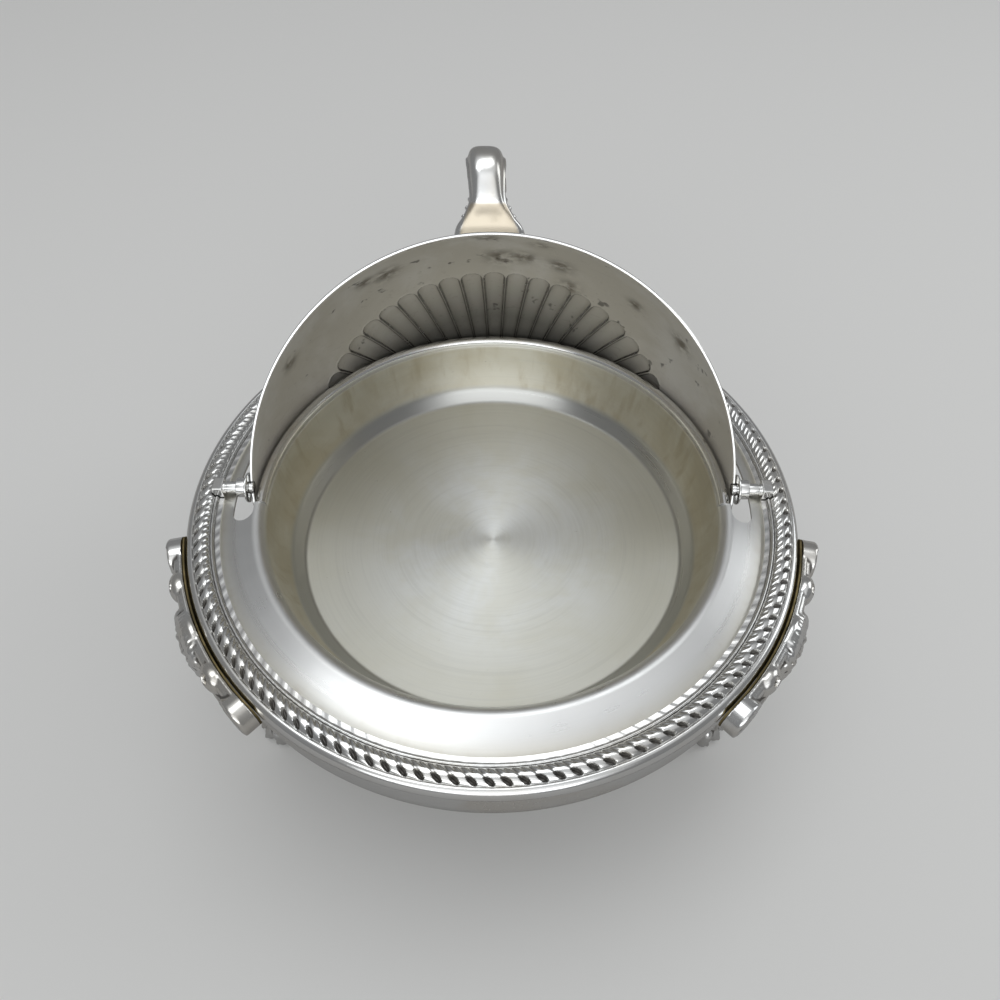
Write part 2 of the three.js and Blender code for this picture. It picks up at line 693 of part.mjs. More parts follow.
const dish = new THREE.Group();
dish.position.z = WELL_DEPTH;
dish.add(
  piece('tray', tray(), SILVER),
  piece('well_bead', wellBead(), SILVER),
  piece('rope_border', ropeBorder(), SILVER),
  piece('apron', apron(), SILVER),
);

const legShape = leg();
const seatShape = legSeat();
for (const [side, azimuth] of Object.entries(LEG_ANGLES)) {
  const stand = new THREE.Group();
  stand.rotation.z = rad(azimuth);
  stand.add(piece(`leg_seat_${side}`, seatShape, BRASS), piece(`leg_${side}`, legShape, SILVER));
  dish.add(stand);
}

const pivots = new THREE.Group();
pivots.position.z = PIVOT_RISE;
pivots.add(...pair('pivot_post', pivotPost(), SILVER), ...pair('pivot_pin', pivotPin(), SILVER));
dish.add(pivots);

const cover = new THREE.Group();
cover.position.z = PIVOT_RISE;
cover.rotation.x = -rad(COVER_OPEN);
cover.add(
  piece('cover_dome', coverDome(), SATIN),
  ...pair('cover_ear', ring(EAR_X, EAR_GAUGE, EAR_R), SATIN),
  ...pair('cover_collar', ring(COLLAR_X, COLLAR_LENGTH, COLLAR_R), SILVER),
  piece('handle', handle(), SILVER),
);
dish.add(cover);

const butterDish = new THREE.Group();
butterDish.add(dish);
export default butterDish;
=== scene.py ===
# %% [markdown]
# # A roll top butter dish
# The dish is plated metal: a spun tray with a well, a rope border, a plain apron, three cast
# lion legs, and a fluted half-sphere cover that rolls back under the well on two pins. The
# engineering model fixes every size and place, so this lesson only dresses it: each piece is
# rebuilt with fine, smooth geometry in the same place, and given a finish made of shader nodes.

# %% Load the frame
import json
import math

import bmesh
import bpy
import numpy as np
from mathutils import Matrix, Vector


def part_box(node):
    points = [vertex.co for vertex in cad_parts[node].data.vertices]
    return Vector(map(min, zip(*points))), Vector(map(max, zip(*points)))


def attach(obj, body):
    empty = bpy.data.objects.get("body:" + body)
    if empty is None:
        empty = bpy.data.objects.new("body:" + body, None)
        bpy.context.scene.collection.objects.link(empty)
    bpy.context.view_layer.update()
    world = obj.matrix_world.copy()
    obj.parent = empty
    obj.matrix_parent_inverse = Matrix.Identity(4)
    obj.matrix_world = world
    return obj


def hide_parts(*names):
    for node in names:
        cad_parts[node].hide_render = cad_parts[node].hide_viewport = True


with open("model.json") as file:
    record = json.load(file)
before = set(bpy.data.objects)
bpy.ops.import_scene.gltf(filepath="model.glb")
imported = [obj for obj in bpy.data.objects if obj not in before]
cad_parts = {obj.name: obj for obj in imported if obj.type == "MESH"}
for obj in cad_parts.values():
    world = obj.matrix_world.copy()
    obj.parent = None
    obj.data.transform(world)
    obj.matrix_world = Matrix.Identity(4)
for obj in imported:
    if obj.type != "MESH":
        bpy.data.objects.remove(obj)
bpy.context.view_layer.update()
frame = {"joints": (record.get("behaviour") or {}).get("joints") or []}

scene = bpy.context.scene


def put(name, data):
    """A new object in the scene that holds a mesh, a camera or a lamp."""
    made = bpy.data.objects.new(name, data)
    scene.collection.objects.link(made)
    return made


# %% [markdown]
# ## Sizes
# The frame is in metres with its origin at the middle of the well floor. A silversmith thinks
# in millimetres from the rim plane, the level of the well's upper edge, so the drawing below
# does too, and one number turns it into metres. Outer sizes are read from the frame.

# %% Sizes in millimetres
MM = 0.001


def highest(node, axis):
    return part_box(node)[1][axis] / MM


def lowest(node, axis):
    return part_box(node)[0][axis] / MM


PIVOT = frame["joints"][0]["pos_m"][2] / MM
PIVOT_RISE = 1.0
RIM = PIVOT - PIVOT_RISE
BORDER_R = highest("rope_border", 0)
GROUND = lowest("leg_rear", 2) - RIM
COVER_OPEN = 123.8
WELL_R = 60.3
STEP_TOP_R = WELL_R - 4.4
STEP_FOOT_R = STEP_TOP_R - 2.8
BEAD_R = highest("well_bead", 0)
COVER_IN = BEAD_R + 0.8
COVER_OUT = COVER_IN + 0.8
SLOT_R = COVER_OUT + 1.3 + 2.6
BORDER_IN = SLOT_R + 3.0
TRAY_R = highest("tray", 0)
LEG_R = BORDER_R + 0.75
print("rim plane", round(RIM, 2), "border radius", round(BORDER_R, 2), "ground", round(GROUND, 2))

# %% [markdown]
# ## The camera
# The perspective is strong, as it is from a phone held close, so the lens is assumed to be a
# phone's. It was not found from the picture. With that lens, circles laid on the border, the
# bead and the cover's edge gave the place of the camera. A matrix built from the three view
# directions turns the camera exactly so.

# %% Camera at the photograph's place
PHOTO_SIDE = 1000
PHOTO_FOCAL = 766.6
SENSOR = 36
CAMERA_PLACE = (2.11, -127.77, 160.16)
PAN, TILT, ROLL = (math.radians(v) for v in (-0.07, 52.1, 0.2))

ahead = Vector((math.sin(PAN) * math.cos(TILT), math.cos(PAN) * math.cos(TILT), -math.sin(TILT)))
level = ahead.cross(Vector((0, 0, 1))).normalized()
right = math.cos(ROLL) * level + math.sin(ROLL) * level.cross(ahead)
camera = put("camera", bpy.data.cameras.new("camera"))
camera.data.sensor_width = SENSOR
camera.data.lens = SENSOR * PHOTO_FOCAL / PHOTO_SIDE
camera.data.clip_start = 0.01
turn = Matrix((right, right.cross(ahead), -ahead)).transposed()
camera.matrix_world = Matrix.Translation(
    Vector((CAMERA_PLACE[0], CAMERA_PLACE[1], CAMERA_PLACE[2] + RIM)) * MM) @ turn.to_4x4()
scene.camera = camera
print("lens", round(camera.data.lens, 2), "mm on a", SENSOR, "mm sensor")

# %% [markdown]
# ## Node helpers
# The air and all finishes are wired in Python. One helper adds a node, sets its switches and
# links its inputs, and another writes a line of arithmetic. Effects that several finishes share
# are node groups, so each finish places the group and gives it its own values.

# %% Helper: nodes
def add(tree, kind, inputs=None, **switches):
    made = tree.nodes.new("ShaderNode" + kind)
    for key, value in switches.items():
        setattr(made, key, value)
    for key, value in (inputs or {}).items():
        if isinstance(value, bpy.types.NodeSocket):
            tree.links.new(value, made.inputs[key])
        else:
            made.inputs[key].default_value = value
    return made


def calc(tree, operation, *values):
    return add(tree, "Math", dict(enumerate(values)), operation=operation).outputs[0]


def spread(tree, value, low, high, to_low=0.0, to_high=1.0):
    """Smoothly maps low..high onto to_low..to_high, held at the ends."""
    ranged = add(tree, "MapRange", {
        "Value": value, "From Min": low, "From Max": high, "To Min": to_low, "To Max": to_high,
    }, interpolation_type="SMOOTHSTEP")
    return ranged.outputs[0]


def blend_colour(tree, share, first, second):
    mixed = add(tree, "Mix", {"Factor": share}, data_type="RGBA")
    for socket, colour in ((mixed.inputs[6], first), (mixed.inputs[7], second)):
        if isinstance(colour, bpy.types.NodeSocket):
            tree.links.new(colour, socket)
        else:
            socket.default_value = (*colour, 1)
    return mixed.outputs[2]


def new_group(name, inputs, outputs):
    """A shader node group with named sockets, its input node and its output node."""
    group = bpy.data.node_groups.new(name, "ShaderNodeTree")
    for label, kind, value in inputs:
        made = group.interface.new_socket(label, in_out="INPUT", socket_type="NodeSocket" + kind)
        if value is not None:
            made.default_value = value
    for label, kind in outputs:
        group.interface.new_socket(label, in_out="OUTPUT", socket_type="NodeSocket" + kind)
    return group, group.nodes.new("NodeGroupInput").outputs, group.nodes.new("NodeGroupOutput")


def place_group(tree, group, inputs):
    made = tree.nodes.new("ShaderNodeGroup")
    made.node_tree = group
    for key, value in inputs.items():
        if isinstance(value, bpy.types.NodeSocket):
            tree.links.new(value, made.inputs[key])
        else:
            made.inputs[key].default_value = value
    return made.outputs


print("node helpers ready")

# %% [markdown]
# ## Floor, air and lamps
# Plate shows what stands round it, so the room matters more than the lamps. The ceiling is
# bright and the walls are dim, as in a room with a light overhead, which gives the flat rim a
# bright front and darker sides. A wide window behind the viewer lights the sloping step and the
# crests of the border. Mirrors see a darker floor than the eye does, so the metal keeps its
# contrast while the background stays pale.

# %% Floor
FLOOR_COLOUR = (0.80, 0.79, 0.77)
FLOOR_MIRRORED = (0.40, 0.39, 0.38)
FLOOR_REACH = 3.0

scene.view_settings.view_transform = "Standard"
floor_mesh = bpy.data.meshes.new("floor")
floor_mesh.from_pydata([(x * FLOOR_REACH, y * FLOOR_REACH, 0)
                        for x, y in ((-1, -1), (1, -1), (1, 1), (-1, 1))], [], [(0, 1, 2, 3)])
floor = put("floor", floor_mesh)
floor.location.z = (GROUND + RIM) * MM

floor_paint = bpy.data.materials.new("floor_paint")
floor_paint.use_nodes = True
paint = floor_paint.node_tree
floor_shader = paint.nodes["Principled BSDF"]
floor_shader.inputs["Roughness"].default_value = 0.75
in_mirror = add(paint, "LightPath").outputs["Is Glossy Ray"]
paint.links.new(blend_colour(paint, in_mirror, FLOOR_COLOUR, FLOOR_MIRRORED),
                floor_shader.inputs["Base Color"])
floor.data.materials.append(floor_paint)
print("floor laid at", round(GROUND + RIM, 2), "mm")

# %% Air
AIR_COLOUR = (0.62, 0.63, 0.64, 1)
AIR_SEEN, AIR_LIGHT = 0.85, 0.75
WALLS_MIRRORED, CEILING_MIRRORED = 0.33, 0.98
CEILING_EDGE, CEILING_FULL = 0.66, 0.95
WINDOW_WAY = (0.0, -0.82, 0.57)
WINDOW_MIRRORED = 1.12
WINDOW_EDGE, WINDOW_FULL = 0.78, 0.96

scene.world = bpy.data.worlds.new("air")
scene.world.use_nodes = True
air = scene.world.node_tree
background = air.nodes["Background"]
background.inputs["Color"].default_value = AIR_COLOUR
ray = add(air, "LightPath").outputs
way = add(air, "TexCoord").outputs["Generated"]
upward = add(air, "SeparateXYZ", {0: way}).outputs[2]
ceiling = spread(air, upward, CEILING_EDGE, CEILING_FULL, WALLS_MIRRORED, CEILING_MIRRORED)
facing = add(air, "VectorMath", {0: way, 1: WINDOW_WAY}, operation="DOT_PRODUCT").outputs["Value"]
window = spread(air, facing, WINDOW_EDGE, WINDOW_FULL, 0.0, WINDOW_MIRRORED)
room = calc(air, "ADD", ceiling, window)
strength = add(air, "Mix", {"Factor": ray["Is Glossy Ray"], 2: AIR_LIGHT, 3: room}).outputs[0]
strength = add(air, "Mix", {"Factor": ray["Is Camera Ray"], 2: strength, 3: AIR_SEEN}).outputs[0]
air.links.new(strength, background.inputs["Strength"])
print("air has", len(air.nodes), "nodes")

# %% Lamps: name, place and aim in metres, size, power
LAMP_COLOUR = (0.95, 0.98, 1.0)
LAMPS = (
    ("overhead_lamp", (-0.1, 0.12, 1.0), (0, 0, 0), (1.0, 0.5), 1.9),
    ("front_lamp", (-0.1, -1.0, 0.5), (0, 0.05, 0.05), (1.2, 0.5), 2.0),
    ("side_lamp", (0.9, 0.25, 0.5), (0, 0, 0), (0.5, 0.6), 1.2))
for name, place, aim, size, power in LAMPS:
    lamp = put(name, bpy.data.lights.new(name, "AREA"))
    lamp.data.shape = "RECTANGLE"
    lamp.data.size, lamp.data.size_y = size
    lamp.data.energy = power
    lamp.data.color = LAMP_COLOUR
    lamp.location = place
    lamp.rotation_euler = (Vector(aim) - Vector(place)).to_track_quat("-Z", "Y").to_euler()
print("stage set with", len(LAMPS), "lamps")

# %% [markdown]
# ## Making meshes
# Nearly every piece here is either spun or built up from soft strokes, so a few helpers do
# most of the work. A grid of points becomes a skin, and a row of rings a closed tube; a line of
# radius and height, copied one metal gauge away, becomes a sheet; and corners are rounded
# before spinning, because real metal has no sharp bend.

# %% Helper: a skin over a grid of points
SHARP = math.radians(38)


def finish_mesh(name, mesh):
    """Merges doubled points, turns the faces outward, shades them, and makes the object."""
    work = bmesh.new()
    work.from_mesh(mesh)
    bmesh.ops.remove_doubles(work, verts=work.verts, dist=2e-6)
    bmesh.ops.dissolve_degenerate(work, edges=work.edges, dist=1e-7)
    bmesh.ops.recalc_face_normals(work, faces=work.faces)
    work.to_mesh(mesh)
    work.free()
    mesh.shade_smooth()
    mesh.set_sharp_from_angle(angle=SHARP)
    return put(name, mesh)


def skin(points, wrap_rows=False, wrap_columns=False):
    """Points [row, column, xyz] in millimetres; gives (points, faces) with quads between."""
    rows, columns = points.shape[:2]
    i = np.arange(rows if wrap_rows else rows - 1)[:, None]
    j = np.arange(columns if wrap_columns else columns - 1)[None, :]
    down, along = (i + 1) % rows, (j + 1) % columns
    quads = np.stack([i * columns + j, i * columns + along,
                      down * columns + along, down * columns + j], -1)
    return points.reshape(-1, 3), quads.reshape(-1, 4)


def closed_tube(rings):
    """A skin over a row of rings, with a fan of triangles over each end."""
    points, faces = skin(rings, False, True)
    points = np.vstack([points, rings[[0, -1]].mean(axis=1)])
    count, hub = rings.shape[1], len(points) - 2
    fans = [[start + j, start + (j + 1) % count, middle]
            for start, middle in ((0, hub), (hub - count, hub + 1)) for j in range(count)]
    return points, [*faces.tolist(), *fans]


def mesh_of(name, *skins):
    """One mesh in metres, placed from the rim plane, from several (points, faces)."""
    points, faces, count = [], [], 0
    for some_points, some_faces in skins:
        points.append(some_points)
        faces += [[int(v) + count for v in face] for face in some_faces]
        count += len(some_points)
    placed = (np.concatenate(points) + (0, 0, RIM)) * MM
    mesh = bpy.data.meshes.new(name)
    mesh.from_pydata(placed.tolist(), [], faces)
    return mesh


def points_of(mesh):
    """A mesh's points in millimetres from the rim plane."""
    flat = np.empty(len(mesh.vertices) * 3)
    mesh.vertices.foreach_get("co", flat)
    return flat.reshape(-1, 3) / MM - (0, 0, RIM)


def set_points(mesh, points):
    mesh.vertices.foreach_set("co", ((points + (0, 0, RIM)) * MM).ravel())
    mesh.update()


def store(mesh, name, values):
    """Keeps one number for each point of a mesh, which the finishes read by its name."""
    mesh.attributes.new(name, "FLOAT", "POINT").data.foreach_set("value", values.astype(np.float32))


# %% Helper: rounded lines, sheets and turning
def rounded(corners, steps=6):
    """A line of (across, up, round) corners as an array of points, each corner eased."""
    corners = [np.array(c, float) for c in corners]
    line = [corners[0][:2]]
    for before, here, after in zip(corners, corners[1:], corners[2:]):
        back, on = before[:2] - here[:2], after[:2] - here[:2]
        ease = min(here[2], np.linalg.norm(back) * 0.49, np.linalg.norm(on) * 0.49)
        if ease <= 0:
            line.append(here[:2])
            continue
        start = here[:2] + back / np.linalg.norm(back) * ease
        stop = here[:2] + on / np.linalg.norm(on) * ease
        for t in np.linspace(0, 1, steps + 1):
            line.append((1 - t) ** 2 * start + 2 * t * (1 - t) * here[:2] + t * t * stop)
    line.append(corners[-1][:2])
    return np.array(line)


def sheet(line, gauge):
    """A closed section: the line and its copy one gauge to its left."""
    step = np.diff(line, axis=0)
    step /= np.linalg.norm(step, axis=1)[:, None]
    normal = np.stack([-step[:, 1], step[:, 0]], 1)
    mitre = np.vstack([normal[:1], normal[1:] + normal[:-1], normal[-1:]])
    mitre /= np.linalg.norm(mitre, axis=1)[:, None]
    along = np.vstack([normal, normal[-1:]])
    reach_out = gauge / np.clip((mitre * along).sum(1), 0.4, 1)
    return np.vstack([line, (line + mitre * reach_out[:, None])[::-1]])


def spin(section, steps=288, start=0.0, stop=2 * math.pi):
    """Points [azimuth, section] of a section turned about the dish's axis."""
    full = abs(stop - start - 2 * math.pi) < 1e-9
    azimuth = np.linspace(start, stop, steps, endpoint=not full)[:, None]
    r, z = section[:, 0][None, :], section[:, 1][None, :]
    return np.stack([r * np.cos(azimuth), r * np.sin(azimuth), z + 0 * azimuth], -1)


def lathe(profile, steps, ease_steps=4):
    """Spins (along, radius, round) corners about the X axis, as points [angle, along, xyz]."""
    line = rounded(profile, ease_steps)
    angle = np.linspace(0, 2 * math.pi, steps, endpoint=False)[:, None]
    along, r = line[:, 0][None, :], line[:, 1][None, :]
    return np.stack([along + 0 * angle, r * np.cos(angle), r * np.sin(angle)], -1)


print("helpers ready")

# %% [markdown]
# ## Helpers that dress a piece
# A finished piece rides on the body that carries it and stands for the plain solid it replaces.
# Hollows are painted dark, partly for old polish that a polishing cloth never reaches and partly
# as painted shade. How deep each point lies in a hollow is measured on the mesh, by comparing it
# with the average of its neighbours over several widening rounds, and kept as an attribute that
# the finishes read.

# %% Helper: dress a piece and measure its hollows
def dress(piece, body, slot_name, material, *nodes):
    piece.data.materials.clear()
    for each in material if isinstance(material, list) else [material]:
        piece.data.materials.append(each)
    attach(piece, body)
    if nodes:
        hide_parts(*nodes)
    print(piece.name, "has", len(piece.data.polygons), "faces and rides on", body)
    return piece


def measure_hollows(mesh, rounds=12, depth=0.25):
    """Stores 0 on open metal and 1 in hollows at least depth millimetres deep."""
    count = len(mesh.vertices)
    place = points_of(mesh)
    outward = np.empty(count * 3)
    mesh.vertices.foreach_get("normal", outward)
    outward = outward.reshape(-1, 3)
    edges = np.empty(len(mesh.edges) * 2, np.int64)
    mesh.edges.foreach_get("vertices", edges)
    a, b = edges.reshape(-1, 2).T
    links = np.bincount(a, minlength=count) + np.bincount(b, minlength=count)
    links = np.maximum(links, 1)[:, None]
    average = place.copy()
    for _ in range(rounds):
        total = np.zeros_like(average)
        for axis in range(3):
            total[:, axis] = (np.bincount(a, average[b, axis], count)
                              + np.bincount(b, average[a, axis], count))
        average = total / links
    hollow = ((average - place) * outward).sum(1) / depth
    store(mesh, "hollow", np.clip(hollow * 0.5 + 0.5, 0, 1))


print("dressing helpers ready")

# %% [markdown]
# ## Shared effect: spun lines
# A tray is spun on a lathe, and the last pass of the tool and the polishing mop leaves fine
# rings. They are noise that changes fast across the rings and slowly round them. Radius plus
# height is used as the fast direction, so the lines also run level round a steep wall. Sine
# and cosine of the azimuth give the slow direction, which joins up with no seam.

# %% Node group: spun lines
group, given, result = new_group(
    "Spun lines",
    [("Position", "Vector", None), ("Fineness", "Float", 900.0), ("Drift", "Float", 1.6)],
    [("Line", "Float"), ("Radius", "Float")])
parts = add(group, "SeparateXYZ", {0: given["Position"]}).outputs
across = calc(group, "SQRT", calc(group, "ADD", calc(group, "MULTIPLY", parts[0], parts[0]),
                                  calc(group, "MULTIPLY", parts[1], parts[1])))
azimuth = calc(group, "ARCTAN2", parts[1], parts[0])
fast = calc(group, "MULTIPLY", calc(group, "ADD", across, parts[2]), given["Fineness"])
slow = [calc(group, "MULTIPLY", calc(group, wave, azimuth), given["Drift"])
        for wave in ("SINE", "COSINE")]
rings = add(group, "CombineXYZ", {0: fast, 1: slow[0], 2: slow[1]}).outputs[0]
noise = add(group, "TexNoise", {"Vector": rings, "Scale": 1.0, "Detail": 4.0, "Roughness": 0.65})
group.links.new(noise.outputs["Fac"], result.inputs["Line"])
group.links.new(across, result.inputs["Radius"])
spun_lines = group
print("group", group.name, "puts out", [s.name for s in result.inputs if s.name])

# %% [markdown]
# ## Shared effect: patina
# Plate that has been in a cupboard is not one colour. Thin sulphide gives it soft warm
# clouds, and where it was touched or splashed there are small dark specks. Two noises with
# soft thresholds make both, and each finish sets their size and how much they cover.

# %% Node group: patina
group, given, result = new_group(
    "Patina",
    [("Position", "Vector", None), ("Cloud scale", "Float", 40.0),
     ("Cloud cover", "Float", 0.5), ("Speck scale", "Float", 260.0),
     ("Speck cover", "Float", 0.3)],
    [("Cloud", "Float"), ("Speck", "Float")])
clouds = add(group, "TexNoise", {
    "Vector": given["Position"], "Scale": given["Cloud scale"], "Detail": 5.0,
    "Roughness": 0.6, "Distortion": 0.4}).outputs["Fac"]
edge = calc(group, "SUBTRACT", 0.8, calc(group, "MULTIPLY", given["Cloud cover"], 0.6))
cloud = spread(group, calc(group, "SUBTRACT", clouds, edge), -0.14, 0.14)
grains = add(group, "TexNoise", {
    "Vector": given["Position"], "Scale": given["Speck scale"], "Detail": 3.0,
    "Roughness": 0.7}).outputs["Fac"]
bar = calc(group, "SUBTRACT", 0.82, calc(group, "MULTIPLY", given["Speck cover"], 0.4))
speck = spread(group, calc(group, "SUBTRACT", grains, bar), -0.02, 0.05)
group.links.new(cloud, result.inputs["Cloud"])
group.links.new(speck, result.inputs["Speck"])
patina = group
print("group", group.name, "puts out", [s.name for s in result.inputs if s.name])

# %% [markdown]
# ## Shared effect: hairlines
# Use leaves straight hairline scratches in every direction. Each layer here is noise that is
# stretched a hundred times along one direction and cut to its thin crests. Two layers at odd
# angles cross each other as real scratches do.

# %% Node group: hairlines
group, given, result = new_group(
    "Hairlines",
    [("Position", "Vector", None), ("Density", "Float", 700.0)],
    [("Scratch", "Float")])
layers = []
for tilt, shift in ((0.5, 0.0), (-1.1, 4.7)):
    turned_place = add(group, "VectorRotate", {"Vector": given["Position"], "Angle": tilt},
                       rotation_type="Z_AXIS").outputs[0]
    xyz = add(group, "SeparateXYZ", {0: turned_place}).outputs
    stretched = add(group, "CombineXYZ", {
        0: calc(group, "MULTIPLY", xyz[0], given["Density"]),
        1: calc(group, "ADD", calc(group, "MULTIPLY", xyz[1], 14.0), shift),
        2: calc(group, "MULTIPLY", xyz[2], given["Density"])}).outputs[0]
    streaks = add(group, "TexNoise", {"Vector": stretched, "Scale": 1.0, "Detail": 1.0})
    layers.append(spread(group, streaks.outputs["Fac"], 0.66, 0.74))
group.links.new(calc(group, "MAXIMUM", *layers), result.inputs["Scratch"])
hairlines = group
print("group", group.name, "puts out", [s.name for s in result.inputs if s.name])

# %% [markdown]
# ## Shared effect: dark hollows
# The measured hollow of the mesh decides where old polish and sulphide stay, with painted shade
# there too. A little noise breaks the border up, and the finish chooses how far the dark reaches
# up the sides.

# %% Node group: dark hollows, old polish and painted shade
group, given, result = new_group(
    "Hollow dirt",
    [("Position", "Vector", None), ("Hollow", "Float", 0.5), ("Reach", "Float", 0.6)],
    [("Dirt", "Float"), ("Rubbed", "Float")])
uneven = add(group, "TexNoise", {
    "Vector": given["Position"], "Scale": 420.0, "Detail": 4.0}).outputs["Fac"]
wobble = calc(group, "MULTIPLY", calc(group, "SUBTRACT", uneven, 0.5), 0.25)
level_here = calc(group, "ADD", given["Hollow"], wobble)
start = calc(group, "SUBTRACT", 1.0, calc(group, "MULTIPLY", given["Reach"], 0.5))
# Painted shade and old polish: how dark a hollow is painted.
dirt = spread(group, calc(group, "SUBTRACT", level_here, start), -0.12, 0.28)
rubbed = spread(group, level_here, 0.42, 0.1)
group.links.new(dirt, result.inputs["Dirt"])
group.links.new(rubbed, result.inputs["Rubbed"])
hollow_dirt = group
print("group", group.name, "puts out", [s.name for s in result.inputs if s.name])

# %% [markdown]
# ## Finishes
# All of them are metal: a Principled shader with Metallic at one. What differs is how warm
# the plate is, how rough, and which shared effects shape it. The helper starts a material
# and returns what every finish needs; the rest is wired one finish at a time.

# %% Helper: start a finish
POLISHED = (0.86, 0.86, 0.85)
TARNISH = (0.62, 0.52, 0.36)
DARK = (0.09, 0.08, 0.07)
WORN = (0.70, 0.59, 0.42)
SATIN, SATIN_WARM = (0.75, 0.73, 0.70), (0.65, 0.62, 0.56)
STAINED = (0.15, 0.12, 0.085)
# Colour of the painted shade deep inside the cover.
GLOOMY = (0.13, 0.125, 0.11)


def start_finish(name):
    material = bpy.data.materials.new(name)
    material.use_nodes = True
    tree = material.node_tree
    shader = tree.nodes["Principled BSDF"]
    shader.inputs["Metallic"].default_value = 1.0
    place = add(tree, "TexCoord").outputs["Object"]
    return material, tree, shader, place


def tint(tree, colour, mask, share, other):
    """Mixes another colour in, by a mask times a share."""
    return blend_colour(tree, calc(tree, "MULTIPLY", mask, share), colour, other)


def plus(tree, value, *pairs):
    """Adds to a value each mask times its weight."""
    for mask, weight in pairs:
        value = calc(tree, "ADD", value, calc(tree, "MULTIPLY", mask, weight))
    return value


def coat(tree, shader, colour, rough):
    """Wires the finished colour and roughness into the shader."""
    tree.links.new(colour, shader.inputs["Base Color"])
    tree.links.new(rough, shader.inputs["Roughness"])


def bump(tree, shader, height, strength, distance):
    """Feeds a height into the shader's normal; distance is in millimetres."""
    made = add(tree, "Bump", {"Height": height, "Strength": strength, "Distance": distance * MM})
    tree.links.new(made.outputs[0], shader.inputs["Normal"])


def stored(tree, name):
    """Reads a number that a mesh keeps for each of its points."""
    return add(tree, "Attribute", attribute_name=name).outputs["Fac"]


print("finish helpers ready")

# %% [markdown]
# ### Tray
# One sheet, but three looks: a polished flange, a warm satin wall, and a cooler floor with
# plain rings from the spinning tool. Height and radius tell them apart. The step between wall
# and floor is burnished, so it is smoother and brighter than either.

# %% Finish: tray
WALL_CLEAN, WALL_WARM, WALL_STREAK = (0.71, 0.685, 0.59), (0.61, 0.565, 0.445), (0.52, 0.46, 0.33)
FLOOR_CLEAN, FLOOR_WARM, FLOOR_OUTER = (0.96, 0.975, 0.97), (0.88, 0.88, 0.82), (0.74, 0.725, 0.63)
STEP_GREY, SPECKLED, STREAKED = (0.53, 0.53, 0.51), (0.30, 0.26, 0.19), (0.5, 0.5, 0.47)


def tray_finish():
    material, tree, shader, place = start_finish("tray_silver")
    spun = place_group(tree, spun_lines, {"Position": place, "Fineness": 2600.0})
    coarse = place_group(tree, spun_lines, {"Position": place, "Fineness": 700.0, "Drift": 0.7})
    old = place_group(tree, patina, {
        "Position": place, "Cloud scale": 38.0, "Cloud cover": 0.5,
        "Speck scale": 520.0, "Speck cover": 0.22})
    x, y, height = add(tree, "SeparateXYZ", {0: place}).outputs

    def inside_of(r, soft):
        """A mask: 0 outside a radius and 1 a soft millimetre or so further in."""
        return spread(tree, spun["Radius"], r * MM, (r - soft) * MM)

    in_well = spread(tree, height, (RIM - 0.2) * MM, (RIM - 2.6) * MM)
    on_floor = inside_of(STEP_FOOT_R + 1.5, 2.0)
    off_foot = spread(tree, spun["Radius"], (STEP_FOOT_R - 0.7) * MM, (STEP_FOOT_R + 0.3) * MM)
    on_step = calc(tree, "MULTIPLY", inside_of(STEP_TOP_R + 0.9, 1.0), off_foot)

    wall = blend_colour(tree, old["Cloud"], WALL_CLEAN, WALL_WARM)
    tall = add(tree, "CombineXYZ", {0: x, 1: y, 2: calc(tree, "MULTIPLY", height, 0.15)}).outputs[0]
    runs = add(tree, "TexNoise", {"Vector": tall, "Scale": 260.0, "Detail": 5.0}).outputs["Fac"]
    wall = blend_colour(tree, spread(tree, runs, 0.5, 0.75, 0, 0.7), wall, WALL_STREAK)
    base = blend_colour(tree, old["Cloud"], FLOOR_CLEAN, FLOOR_WARM)
    outer = spread(tree, spun["Radius"], 16 * MM, 50 * MM)
    base = tint(tree, base, outer, 0.7, FLOOR_OUTER)
    well = blend_colour(tree, on_step, blend_colour(tree, on_floor, wall, base), STEP_GREY)
    colour = blend_colour(tree, in_well, POLISHED, well)
    colour = tint(tree, colour, old["Speck"], calc(tree, "MULTIPLY", in_well, 0.5), SPECKLED)
    streak = calc(tree, "MULTIPLY", calc(tree, "SUBTRACT", coarse["Line"], 0.5), 0.7)
    colour = tint(tree, colour, calc(tree, "ABSOLUTE", streak),
                  spread(tree, in_well, 0.0, 1.0, 0.2, 1.0), STREAKED)

    rough = add(tree, "Mix", {"Factor": in_well, 2: 0.25, 3: 0.5}).outputs[0]
    rough = add(tree, "Mix", {"Factor": on_step, 2: rough, 3: 0.3}).outputs[0]
    turn = calc(tree, "ARCTAN2", y, x)
    fan = add(tree, "CombineXYZ", {0: calc(tree, "SINE", turn), 1: calc(tree, "COSINE", turn)})
    rubs = add(tree, "TexNoise", {"Vector": fan.outputs[0], "Scale": 11.0, "Detail": 1.0})
    on_flange = spread(tree, in_well, 0.1, 0, 0, 0.12)
    coat(tree, shader, colour, plus(tree, rough, (streak, 0.25), (rubs.outputs["Fac"], on_flange)))
    shader.inputs["Anisotropic"].default_value = 0.6
    shader.inputs["Anisotropic Rotation"].default_value = 0.25
    round_axis = add(tree, "Tangent", direction_type="RADIAL", axis="Z").outputs[0]
    tree.links.new(round_axis, shader.inputs["Tangent"])
    bump(tree, shader, spun["Line"], 0.3, 0.03)
    return material


TRAY_SILVER = tray_finish()
print("finish", TRAY_SILVER.name, "has", len(TRAY_SILVER.node_tree.nodes), "nodes")

# %% [markdown]
# ### Cover
# Outside, the cover is polished like the rest. Inside, it was pickled and never buffed, so it
# is a warm satin grey, with dark tide marks and specks near the front edge where butter and
# water reached it. Two materials share one builder.

